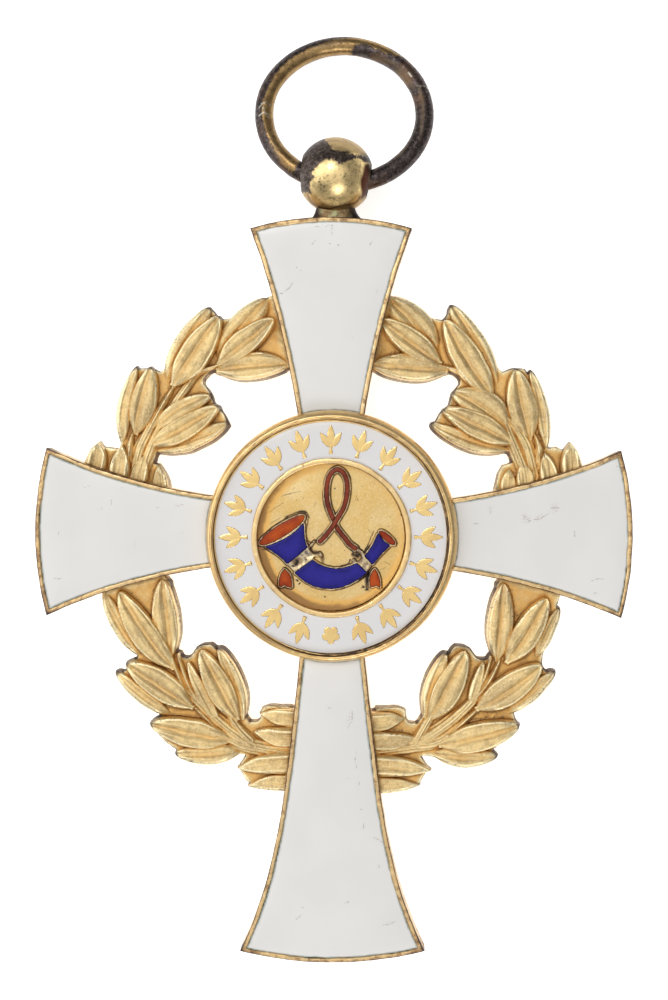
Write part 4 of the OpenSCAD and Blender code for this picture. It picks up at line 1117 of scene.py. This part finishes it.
def build_medallion():
    """The back boss, the disc's lip and inner rim, and the shallow arch of enamel between these."""
    verts, faces = turned(BOSS, 240, ends=True)
    add_piece("back_boss", verts, faces, PLAIN_BACK, values={"dark": np.full(len(verts), 0.1)}, crisp=40)

    verts, faces = turned(LIP, 360, handmade, closed=True)
    # Painted shade on the lip's outer side, in the narrow gap by the collar.
    dark = 0.05 + 0.7 * smooth(np.hypot(verts[:, 0], verts[:, 1]), LIP_R - 0.03, LIP_R)
    add_piece("band_lip", verts, faces, BRIGHT, nodes=MEDALLION, values={"dark": dark}, crisp=40)

    verts, faces = turned(INNER_RIM, 300, handmade, closed=True)
    # Painted shade on the inner rim's inner wall, where it drops to the field.
    dark = 0.02 + 0.5 * smooth(FIELD_R + 0.03 - np.hypot(verts[:, 0], verts[:, 1]), 0, 0.03)
    add_piece("inner_rim", verts, faces, BRIGHT, nodes=MEDALLION, values={"dark": dark}, crisp=40)

    radii = INNER_RIM_R - 0.01 + np.linspace(0, 1, BAND_ROWS) * (BAND_R - INNER_RIM_R + 0.02)
    inside = np.minimum(radii - radii[0], radii[-1] - radii)
    heights = BAND_EDGE + BAND_DOME * domed(inside, 0.25)
    band = [(radii[0], BAND_FLOOR), *zip(radii, heights), (radii[-1], BAND_FLOOR)]
    verts, faces = turned(band, BAND_STEPS, closed=True)
    verts[:, 2] += 0.008 * noise(verts[:, 0], verts[:, 1], 1.8, 610) * (verts[:, 2] > 4)
    edge = np.repeat(np.concatenate([[0], inside, [0]]), BAND_STEPS)
    values = {"edge": edge, "stroke": np.full(len(edge), NO_STROKE)}
    add_piece(
        "band_enamel_ring", verts, faces, BAND_WHITE,
        nodes=("band_enamel",), slot="white_enamel", values=values,
    )


# Band ornaments

ORNAMENTS, ORNAMENT_TOP, ORNAMENT_FLOOR, ORNAMENT_STEP = 20, 4.285, 4.12, 0.035
# Fall of a steep side for each unit of distance, on the ornaments and on the glass.
STEEP_SIDE = 9
PETALS, PETAL_R, PETAL_AT, EYE_R = 5, 0.27, 0.38, 0.3


def leaf_outline(base, tip, half, steps=14):
    base, tip = np.asarray(base, float), np.asarray(tip, float)
    d = (tip - base) / np.linalg.norm(tip - base)
    t = np.linspace(0, 1, steps)[:, None]
    wide = (0.02 + half * np.sin(math.pi * t**0.9) ** 0.85) * (d[1], -d[0])
    middle = base + t * (tip - base)
    return np.concatenate([middle + wide, (middle - wide)[::-1]])


def sprig(x, y):
    """Signed distance to a sprig of three leaves on a short stalk."""
    stalk = np.maximum(np.abs(x) - 0.10 - 0.05 * smooth(-y, 0.6, 1.0), np.abs(y + 0.60) - 0.42)
    leaves = [((0, -0.38), (0, 1.02), 0.25)]
    leaves += [((0.08 * s, -0.55), (0.74 * s, 0.50), 0.22) for s in (-1, 1)]
    return np.min([stalk, *(signed_distance(x, y, leaf_outline(*leaf)) for leaf in leaves)], axis=0)


def rosette(x, y):
    """Signed distance to a rosette of round petals."""
    parts = [np.hypot(x, y) - EYE_R]
    for a in TURN * (0.25 + np.arange(PETALS) / PETALS):
        parts.append(np.hypot(x - PETAL_AT * math.cos(a), y - PETAL_AT * math.sin(a)) - PETAL_R)
    return np.min(parts, axis=0)


def build_ornaments():
    """Gilt sprigs round the band with a rosette at the bottom, all nearly flush with the enamel."""
    x, y = grid((-1.1, -1.2), (1.1, 1.2), ORNAMENT_STEP)
    shapes = []
    for form in (rosette(x, y), sprig(x, y)):
        inside = np.maximum(-form, 0)
        z = ORNAMENT_TOP + 0.02 * domed(inside, 0.05) + 0.006 * noise(x, y, 0.3, 650)
        z = z - STEEP_SIDE * np.maximum(form, 0)
        shapes.append(solid_above(x, y, z, ORNAMENT_FLOOR, {"edge": inside}))
    verts, faces, edges, count = [], [], [], 0
    for n in range(ORNAMENTS):
        points, tris, kept = shapes[min(n, 1)]
        verts.append(spun(points + (0, BAND_MID, 0), math.pi + n * TURN / ORNAMENTS))
        faces.append(tris + count)
        edges.append(kept["edge"])
        count += len(points)
    add_piece(
        "band_ornaments", np.concatenate(verts), np.concatenate(faces), ORNAMENT,
        nodes=MEDALLION, values={"edge": np.concatenate(edges)}, crisp=55,
    )


# Horn

ENAMELS = [
    ("horn_bell", BELL, BLUE, "blue_enamel"),
    ("horn_body", BODY, BLUE, "blue_enamel"),
    ("horn_tail", TAIL, BLUE, "blue_enamel"),
    ("horn_mouth", ellipse(*MOUTH), ORANGE, "red_enamel"),
    ("horn_mouthpiece", ellipse(*MOUTHPIECE), DARK_RED, "red_enamel"),
    ("tassel_left", LEFT_TASSEL, ORANGE, "red_enamel"),
    ("tassel_right", RIGHT_TASSEL, ORANGE, "red_enamel"),
]
HORN_TOP, HORN_SLOPE = 4.05, 5.0
CELL_RIM, CELL_DEPTH, CELL_WALL, CORNER = 0.12, 0.26, 7, 0.04
FIELD_FLOOR, FIELD_STEP = 3.45, 0.036
GLASS_EDGE, GLASS_DOME, GLASS_DEPTH, GLASS_STEP = 0.03, 0.03, 0.2, 0.026


def cord_cells(x, y):
    """Signed distance to the cord's cells. The rims of the strand in front cut the one behind."""
    upper, share = line_distance(x, y, spline(UPPER_STRAND, 5))
    lower = curve_distance(x, y, LOWER_STRAND, 5)
    front = curve_distance(x, y, UPPER_STRAND[:IN_FRONT], 5)
    loop = np.where(share > BEHIND_FROM, np.inf, upper)
    behind = np.minimum(lower, np.where(share > BEHIND_FROM, upper, np.inf))
    return np.minimum(loop, np.maximum(behind, 2 * CORD_HALF + CORD_RIM - front)) - CORD_HALF


def horn_shapes(x, y):
    """Signed distances to the horn's cells, to its bands with their knots, and to all of its metal."""
    cells = [signed_distance(x, y, softened(outline, most=CORNER)) for _, outline, *_ in ENAMELS]
    cord = cord_cells(x, y)
    bands = [signed_distance(x, y, softened(outline, 1)) for outline in BANDS]
    bands += [curve_distance(x, y, line, 3) - half for line, half in KNOTS]
    band = np.min(bands, axis=0)
    metal = np.min([*(near - CELL_RIM for near in cells), cord - CORD_RIM, band], axis=0)
    return [*cells, cord], band, metal


def field_dirt(x, y, metal, cloud):
    """Dark residue: close round the metal, in lines, spots and pits, and in scratches."""
    bent_x, bent_y = x + 0.13 * noise(x, y, 0.24, 704), y + 0.13 * noise(x, y, 0.24, 705)
    near_x, near_y = 0.7 * x + 0.3 * bent_x, 0.7 * y + 0.3 * bent_y
    layers = [0.82 * hump(np.maximum(metal, 0) - 0.05, 0.08) * (metal > -0.02) * (0.88 + 0.3 * cloud)]
    for line, half in DIRT_LINES:
        layers.append((0.86 + 0.20 * cloud) * hump(curve_distance(near_x, near_y, line, 3), 1.5 * half))
    for cx, cy, half_x, half_y in DIRT_SPOTS:
        layers.append(1.05 * np.exp(-(((bent_x - cx) / half_x) ** 2 + ((bent_y - cy) / half_y) ** 2) / 1.6))
    for cx, cy, half in PITS:
        layers.append(1.1 * hump(np.hypot(x - cx, y - cy), half))
    for line in SCRATCHES:
        layers.append(0.9 * hump(line_distance(x, y, line)[0], 0.028) * (metal > 0))
    return np.max(layers, axis=0)


def build_field():
    """The medallion's field with the raised metal of the horn."""
    reach = FIELD_R + 0.1
    x, y = grid((-reach, -reach), (reach, reach), FIELD_STEP)
    radius = np.hypot(x, y)
    cells, band, metal = horn_shapes(x, y)
    cloud = lumps(x, y, (1, 0.9, 702), (0.5, 0.35, 703))
    field = FIELD_Z + 0.02 * smooth(radius, 4.7, FIELD_R) + 0.010 * noise(x, y, 1.4, 700)
    rise = HORN_TOP + 0.02 * noise(x, y, 0.3, 701) + 0.05 * (band < 0) * (1 - smooth(-band, 0.0, 0.4))
    z = np.maximum(field, rise - HORN_SLOPE * np.maximum(metal + 0.01, 0))
    for near in cells:
        cell = HORN_TOP - CELL_DEPTH + CELL_WALL * np.maximum(near, 0)
        z = np.where(near < 0.05, np.minimum(z, cell), z)
    bare = smooth(-band, -0.02, 0.06) * smooth(cloud, -0.5, 0.3)
    crest = 0.85 * smooth(z - field, 0.12, 0.24) * smooth(cloud, -1.3, -0.2)
    # Painted shade by the inner rim, stronger towards the left and the bottom.
    side = 0.80 - 0.25 * x / FIELD_R - 0.20 * y / FIELD_R
    values = {
        "rim": 1.2 * side * smooth(radius, 3.7, FIELD_R),
        "dirt": field_dirt(x, y, metal, cloud),
        "silver": np.clip(np.maximum(bare, crest), 0, 1),
        "shade": hump(np.maximum(metal, 0), 0.45) * (metal > 0),
    }
    z = np.where(radius > FIELD_R + 0.04, 3.0, z)
    add_relief("horn_field", x, y, z, FIELD_FLOOR, values, FIELD, nodes=MEDALLION, crisp=75)


def build_glass(name, x, y, near, material, slot, node):
    inside = np.maximum(-near, 0)
    z = HORN_TOP - GLASS_EDGE + GLASS_DOME * domed(inside, 0.15) + 0.006 * noise(x, y, 0.5, 720)
    z = z - STEEP_SIDE * np.maximum(near, 0)
    add_relief(
        f"{name}_glass", x, y, z, HORN_TOP - GLASS_DEPTH, {"edge": inside}, material,
        nodes=(node,), slot=slot, crisp=70,
    )


def build_glasses():
    for name, outline, material, slot in ENAMELS:
        p = softened(outline, most=CORNER)
        x, y = grid(p.min(0) - 0.1, p.max(0) + 0.1, GLASS_STEP)
        build_glass(name, x, y, signed_distance(x, y, p) - 0.012, material, slot, f"{name}_enamel")
    x, y = grid((-1.2, -1.3), (2.1, 5.0), GLASS_STEP)
    build_glass("horn_cord", x, y, cord_cells(x, y) - 0.01, CORD_BROWN, "brown_enamel", "cord_enamel")


# Ball and neck

UP = np.array([0, 0, 1.0])
BORE_AXIS = np.array([math.cos(BORE_SLOPE), -math.sin(BORE_SLOPE), 0])
BORE_ACROSS = np.array([math.sin(BORE_SLOPE), math.cos(BORE_SLOPE), 0])
BALL_ROWS, BALL_STEPS = 90, 160
# The ball's surface ends this far outside the hole, whose throat is a little narrower than its mouths.
MOUTH_LIP, MOUTH_STEP, THROAT_STEP = 0.02, (0.0, 0.0), (-0.05, -0.02)
# Patches on the ball, by their place in the plane of the medal, measured from the ball's centre in its radii.
BALL_DARK = [
    (-0.29, 1.05), (-0.21, 0.82), (-0.15, 0.69), (-0.06, 0.58), (0.07, 0.50), (0.19, 0.48), (0.30, 0.43),
    (0.44, 0.46), (0.58, 0.42), (0.70, 0.43), (0.84, 0.42), (0.91, 0.38), (0.86, 0.24), (0.75, 0.26),
    (0.65, 0.33), (0.49, 0.31), (0.35, 0.25), (0.24, 0.17), (0.12, 0.15), (0.00, 0.25), (-0.12, 0.28),
    (-0.23, 0.26), (-0.35, 0.21), (-0.42, 0.12), (-0.52, 0.05), (-0.57, -0.08), (-0.52, -0.18),
    (-0.61, -0.26), (-0.66, -0.32), (-0.66, -0.43), (-0.63, -0.54), (-0.72, -0.51), (-0.78, -0.53),
    (-1.2, -0.5), (-1.2, 1.2),
]
BALL_RED = [
    (0.76, 0.21), (0.71, -0.06), (0.65, -0.23), (0.65, -0.39), (0.69, -0.55), (0.63, -0.69), (0.71, -0.67),
    (0.86, -0.54), (0.92, -0.38), (0.91, -0.18), (0.92, 0.01), (0.91, 0.26),
]
BALL_LINE = [
    (-0.73, -0.54), (-0.66, -0.70), (-0.56, -0.79), (-0.40, -0.88), (-0.16, -0.92), (0.01, -0.90),
    (0.15, -0.86), (0.29, -0.84), (0.46, -0.80), (0.58, -0.72), (0.66, -0.61),
]
BALL_FOOT = [*BALL_LINE, (0.72, -0.66), (0.90, -0.50), (1.3, -0.6), (0.6, -1.4), (-0.8, -1.3), (-1.2, -0.5)]
BALL_BLACK = [
    (0.98, 0.05, 0.09, 0.45, 3, 1.0), (0.85, 0.42, 0.16, 0.10, -20, 0.9), (-1.0, 0.0, 0.05, 0.35, 0, 0.7),
    (0.30, 0.46, 0.12, 0.05, 10, 0.9), (-0.40, -0.30, 0.03, 0.02, 0, 1), (-0.35, -0.38, 0.03, 0.02, 0, 1),
    (-0.27, -0.42, 0.03, 0.03, 0, 1), (-0.38, -0.23, 0.02, 0.02, 0, 1), (0.26, -0.17, 0.04, 0.03, 45, 0.8),
    (-0.12, -0.70, 0.03, 0.02, 0, 0.9), (-0.03, -0.71, 0.02, 0.02, 0, 0.9),
    (-0.17, -0.16, 0.02, 0.02, 0, 1),
]
# Cross-sections of the neck: distance up the medal, half width and half depth.
NECK = [
    (22.00, 2.35, 0.75), (22.30, 2.00, 0.75), (22.50, 1.74, 0.75), (22.70, 1.58, 0.75), (22.90, 1.47, 0.75),
    (23.15, 1.40, 0.80), (23.50, 1.30, 0.90),
]
NECK_STEPS = 120


def ball_loops():
    """Loops about the hole's axis, over the ball from end to end and back through the hole."""
    phi = np.linspace(0, TURN, BALL_STEPS, endpoint=False)
    e = np.cos(phi)[:, None] * BORE_ACROSS + np.sin(phi)[:, None] * UP
    offset = BORE - BALL
    lip = BORE_R + MOUTH_LIP
    along = BORE_AXIS @ offset
    room = BALL_R**2 - offset @ offset - 2 * lip * (e @ offset) - lip**2
    reach = [np.minimum(BORE_HALF, np.sqrt(room + along**2) - end * along) for end in (-1, 1)]
    loops = []
    for share in np.cos(np.linspace(math.pi, 0, BALL_ROWS)):
        centre = BORE + (share * reach[int(share >= 0)])[:, None] * BORE_AXIS
        from_ball = centre - BALL
        eo = e @ offset
        rho = -eo + np.sqrt(np.maximum(eo**2 - (from_ball * from_ball).sum(1) + BALL_R**2, 0))
        loops.append(centre + np.maximum(rho, lip)[:, None] * e)
    for end, steps in ((1, (MOUTH_STEP, THROAT_STEP)), (-1, (THROAT_STEP, MOUTH_STEP))):
        wobble = 0.02 * noise(np.cos(phi) * 4, np.sin(phi) * 4, 1.2, 800 + end)
        for narrow, inward in steps:
            s = end * (reach[int(end > 0)] + inward)
            loops.append(BORE + s[:, None] * BORE_AXIS + (BORE_R + narrow + wobble)[:, None] * e)
    return loops


def build_ball():
    verts, faces = lofted(ball_loops(), closed=True, flipped=True)
    x, y, z = ((verts - BALL) / BALL_R).T
    front = smooth(z, -0.35, 0.1)
    from_bore = verts - BORE
    bore = np.linalg.norm(from_bore - (from_bore @ BORE_AXIS)[:, None] * BORE_AXIS, axis=1) < BORE_R + 0.005
    bare = signed_distance(x, y, BALL_DARK)
    gold = 0.75 * np.clip(bare / 0.12, -1, 1)
    gold = gold * front + (1 - front) * (0.5 * noise(x, y, 0.5, 810) - 0.3)
    red = smooth(-signed_distance(x, y, softened(BALL_RED, 1)), -0.03, 0.05)
    red = np.maximum(red, 0.75 * hump(curve_distance(x, y, BALL_LINE, 6), 0.020))
    foot = smooth(-signed_distance(x, y, BALL_FOOT), -0.02, 0.04)
    dull_and_shade = np.maximum(0.65 * smooth(y + 0.05 * x, 0.46, 0.52), 0.60 * foot)
    # Painted shade towards the ball's outline.
    dull_and_shade = np.maximum(dull_and_shade, 0.7 * smooth(np.hypot(x, y), 0.78, 1.0)) * (bare > 0)
    values = {
        "gold": np.where(bore, -1, gold),
        "red": np.clip(red, 0, 1) * front,
        "black": np.clip(blobs(x, y, BALL_BLACK) * front + 0.8 * bore, 0, 1),
        "tint": dull_and_shade * front,
    }
    add_piece("suspension_ball", verts, faces, BALL_METAL, values=values, crisp=40)


def build_neck():
    """The neck under the ball, gilt in front, black at its sides, with a few green spots."""
    a = np.linspace(0, TURN, NECK_STEPS, endpoint=False)
    loops = []
    for y, wide, deep in NECK:
        uneven = 1 + 0.05 * noise(np.cos(a) * 5, np.sin(a) * 5 + y * 3, 1.3, 820) * smooth(23.3 - y, 0, 0.5)
        x, z = BALL[0] + wide * uneven * np.cos(a), BALL[2] + deep * uneven * np.sin(a)
        loops.append(np.stack([x, np.full_like(a, y), z], 1))
    verts, faces = lofted(loops, ends=True, flipped=True)
    side = np.abs(verts[:, 0] - BALL[0])
    middle = 1 - smooth(side, 0.8, 1.3)
    spots = 0.5 + 0.5 * noise(verts[:, 0], verts[:, 1] + verts[:, 2], 0.35, 840)
    values = {
        "gold": 0.05 - 1.2 * smooth(side, 0.8, 1.4),
        "red": np.full(len(verts), 0.35),
        "black": 0.95 * smooth(side, 1.0, 1.5),
        "tint": 0.7 * middle,
        "green": 0.75 * smooth(spots, 0.35, 0.75) * middle,
    }
    add_piece("suspension_neck", verts, faces, BALL_METAL, values=values)


# Ring

RING_A, RING_B, RING_SIDE_R = 5.72, 5.21, 4.8
RING_SLIDE, WIRE_SAG, FLOOR_GAP = 0.61, 0.3, 0.01
RING_STEPS, WIRE_STEPS = 640, 72
# The wire is worn flat on its inner side at this bearing, this deep, and for this angle to either side.
FLAT_BEARING, FLAT_DEPTH, FLAT_HALF = 0.78, 0.05, 0.13
# Patches on the ring by their place in the plane of the medal.
RING_GILT = [
    (-2.81, 25.49), (-3.58, 26.33), (-4.02, 27.12), (-4.47, 27.92), (-4.79, 28.88), (-4.98, 29.67),
    (-5.09, 30.24), (-4.93, 31.04), (-4.72, 31.62), (-4.40, 32.30), (-4.03, 32.99), (-3.61, 33.57),
    (-3.15, 34.01), (-2.69, 34.31), (-2.03, 34.72), (-1.37, 35.05), (-0.71, 35.30), (-0.05, 35.51),
    (0.61, 35.65), (1.49, 35.79), (2.26, 35.79), (3.04, 35.63), (3.70, 35.36), (4.36, 34.90), (5.08, 34.23),
    (4.36, 34.28), (3.70, 34.53), (3.04, 34.82), (2.49, 35.07), (2.05, 35.16), (1.63, 34.98), (1.44, 34.67),
    (1.17, 34.01), (-0.48, 33.74), (-2.01, 32.97), (-3.04, 31.84), (-3.58, 30.70), (-3.68, 29.67),
    (-3.39, 28.65), (-2.78, 27.63), (-1.95, 26.73),
]
RING_TINT = [
    (5.13, 32.76, 0.30, 0.9, 40, 0.9), (6.44, 29.67, 0.15, 1.6, -5, 0.45),
    (-0.27, 35.13, 1.3, 0.10, 12, 0.8), (-3.92, 27.18, 0.25, 1.0, 28, 0.4),
    (3.70, 34.03, 1.0, 0.20, -22, 0.6), (6.34, 31.5, 0.15, 0.8, 10, 0.5), (5.01, 27.29, 0.8, 0.15, 50, 0.4),
]
RING_SCRATCHES = [
    [(-5.16, 30.42), (-4.89, 30.76)], [(-5.0, 30.72), (-4.62, 30.84), (-4.38, 30.63)],
    [(-5.24, 29.77), (-4.81, 30.08)], [(-4.81, 30.08), (-4.5, 29.93)], [(-4.89, 30.42), (-4.7, 30.13)],
    [(-4.74, 30.08), (-4.47, 29.67)], [(5.46, 33.05), (5.68, 32.76)], [(6.03, 32.1), (6.34, 32.05)],
    [(6.45, 32.13), (6.89, 31.96)],
]


def ring_line():
    """The ring's centre line of four arcs, its outward directions, its rise and its tilt in the ball."""
    side_x = RING_A - RING_SIDE_R
    flat_y = (side_x**2 - (RING_B - RING_SIDE_R) ** 2) / (2 * (RING_B - RING_SIDE_R))
    flat_r = RING_B + flat_y
    join = math.atan2(flat_y, side_x)
    rise = math.sqrt(flat_r**2 - RING_SLIDE**2) - flat_y - WIRE_SAG
    far = RING_SLIDE * math.sin(BORE_SLOPE) + (rise - flat_y) * math.cos(BORE_SLOPE) + flat_r
    tilt = math.asin((BORE[2] - WIRE_R - FLOOR_GAP) / far)
    arcs = [
        ((side_x, 0), RING_SIDE_R, -join, 2 * join),
        ((0, -flat_y), flat_r, join, math.pi - 2 * join),
        ((-side_x, 0), RING_SIDE_R, math.pi - join, 2 * join),
        ((0, flat_y), flat_r, math.pi + join, math.pi - 2 * join),
    ]
    whole = sum(r * sweep for _, r, _, sweep in arcs)
    centre, outward = [], []
    for middle, r, start, sweep in arcs:
        count = round(RING_STEPS * r * sweep / whole)
        a = start + sweep * np.arange(count) / count
        n = np.stack([np.cos(a), np.sin(a), np.zeros(count)], 1)
        centre.append((*middle, 0) + r * n)
        outward.append(n)
    return np.concatenate(centre), np.concatenate(outward), rise, tilt


def ring_points():
    """Loops of points round the wire, for the ring as it lies in the ball."""
    centre, outward, rise, tilt = ring_line()
    around = np.linspace(0, TURN, WIRE_STEPS, endpoint=False)
    way = TURN * np.arange(len(centre))[:, None] / len(centre)
    x, y = np.cos(way) * 8 + np.cos(around), np.sin(way) * 8 + np.sin(around)
    bearing = np.arctan2(centre[:, 1], centre[:, 0])[:, None]
    flat = FLAT_DEPTH * hump(bearing - FLAT_BEARING, FLAT_HALF) * np.maximum(-np.cos(around), 0)
    radius = WIRE_R - 0.012 + lumps(x, y, (0.010, 0.9, 900), (0.006, 0.25, 901)) - flat
    spoke = np.cos(around)[:, None] * outward[:, None] + np.sin(around)[:, None] * UP
    p = spun(centre[:, None] + radius[..., None] * spoke + (RING_SLIDE, rise, 0), BORE_SLOPE)
    c, s = math.cos(-tilt), math.sin(-tilt)
    p = np.stack([p[..., 0], p[..., 1] * c - p[..., 2] * s, p[..., 1] * s + p[..., 2] * c], -1)
    return spun(p, -BORE_SLOPE) + BORE, np.tile(smooth(np.sin(around), -0.3, 0.3), len(centre))


def build_ring():
    points, front = ring_points()
    verts, faces = lofted(points, closed=True, flipped=True)
    x, y = verts[:, 0], verts[:, 1]
    gold = -0.7 * np.clip((signed_distance(x, y, RING_GILT) + 0.10) / 0.26, -1, 1) + 0.04
    gold = gold * front - 0.6 * (1 - front) * (0.4 + noise(x, y, 2.0, 910))
    scratch = np.min([line_distance(x, y, line)[0] for line in RING_SCRATCHES], axis=0)
    values = {
        "gold": gold,
        "red": 0.25 * smooth(noise(x, y, 0.8, 940), 0.1, 0.8),
        "pale": 0.9 * hump(scratch, 0.04) * front * smooth(noise(x, y, 0.12, 950), -0.5, 0.2),
        "tint": np.clip(blobs(x, y, RING_TINT), 0, 1) * front,
    }
    add_piece(
        "ring_wire", verts, faces, RING_METAL, body="ring",
        nodes=("suspension_ring",), slot="tarnished_silver", values=values, crisp=70,
    )


# Stage

CAMERA_HEIGHT = 130.0
FRAME_HEIGHT = 70.2
SENSOR = 36.0
CAMERA_FOOT = (4.14, 5.4)
VIEW_CENTRE = (0.21, 2.597)
FLOOR_HALF_M, FLOOR_DROP = 1.5, 0.03
WORLD_STRENGTH = 0.28
FLOOR_LOOK = {"Specular IOR Level": 0.0, "Emission Color": (1, 1, 1, 1), "Emission Strength": 0.7}
# Lamps: place, point that each is turned to, size and power in watts.
LAMPS = {
    "ceiling": ((0, 0, 500), (0, 0, 0), (600, 600), 0.75),
    "key_left": ((-400, 60, 260), (0, 3, 0), (460, 420), 0.98),
    "soft_top": ((-95, 170, 410), (0, 3, 0), (150, 110), 0.34),
    "soft_low": ((60, -340, 300), (0, 3, 0), (200, 150), 0.50),
}


def build_camera():
    """A camera above the medal whose picture plane is at the arms' tops, shifted as the photo is cropped."""
    data = bpy.data.cameras.new("camera")
    data.lens = SENSOR * (CAMERA_HEIGHT - ARM_TOP) / FRAME_HEIGHT
    data.sensor_width = SENSOR
    data.shift_x, data.shift_y = ((v - f) / FRAME_HEIGHT for v, f in zip(VIEW_CENTRE, CAMERA_FOOT))
    data.clip_start = 0.01
    camera = bpy.data.objects.new("camera", data)
    camera.location = [v * MM for v in (*CAMERA_FOOT, CAMERA_HEIGHT)]
    bpy.context.scene.collection.objects.link(camera)
    bpy.context.scene.camera = camera


def build_floor():
    h = FLOOR_HALF_M
    mesh = bpy.data.meshes.new("floor")
    mesh.from_pydata([(-h, -h, 0), (h, -h, 0), (h, h, 0), (-h, h, 0)], [], [(0, 1, 2, 3)])
    mesh.materials.append(Paint("pale_floor", (0.9, 0.9, 0.9), FLOOR_LOOK).done(0.9))
    floor = bpy.data.objects.new("floor", mesh)
    floor.location.z = -FLOOR_DROP * MM
    bpy.context.scene.collection.objects.link(floor)


def build_lights():
    world = bpy.data.worlds.new("studio")
    world.use_nodes = True
    background = world.node_tree.nodes["Background"]
    background.inputs["Color"].default_value = (1, 1, 1, 1)
    background.inputs["Strength"].default_value = WORLD_STRENGTH
    bpy.context.scene.world = world
    for name, (at, target, size, power) in LAMPS.items():
        data = bpy.data.lights.new(name, "AREA")
        data.shape = "RECTANGLE"
        data.size, data.size_y = size[0] * MM, size[1] * MM
        data.energy = power
        lamp = bpy.data.objects.new(name, data)
        lamp.location = Vector(at) * MM
        lamp.rotation_euler = (Vector(target) - Vector(at)).to_track_quat("-Z", "Y").to_euler()
        bpy.context.scene.collection.objects.link(lamp)
    bpy.context.scene.view_settings.view_transform = "Standard"
    bpy.context.scene.view_settings.look = "None"


# Building

build_camera()
build_floor()
build_lights()
outlines = {}
for number, (arm, (*shape, turns, shift)) in enumerate(ARMS.items(), 1):
    outlines[arm] = quarter_turned(arm_loop(*shape)[::4], turns, shift)
    build_arm_frame(arm, shape, turns, shift, number)
    build_arm_enamel(arm, shape, turns, shift, number)
for seed, (quarter, parts) in enumerate(WREATH.items(), 11):
    upright, sideways = quarter.split("_")
    arms = (outlines["top" if upright == "upper" else "bottom"], outlines[sideways])
    lean = (LEAN if sideways == "left" else -LEAN, -LEAN if upright == "upper" else LEAN)
    build_wreath(quarter, *parts, arms, lean, seed)
build_collar()
build_medallion()
build_ornaments()
build_field()
build_glasses()
build_ball()
build_neck()
build_ring()
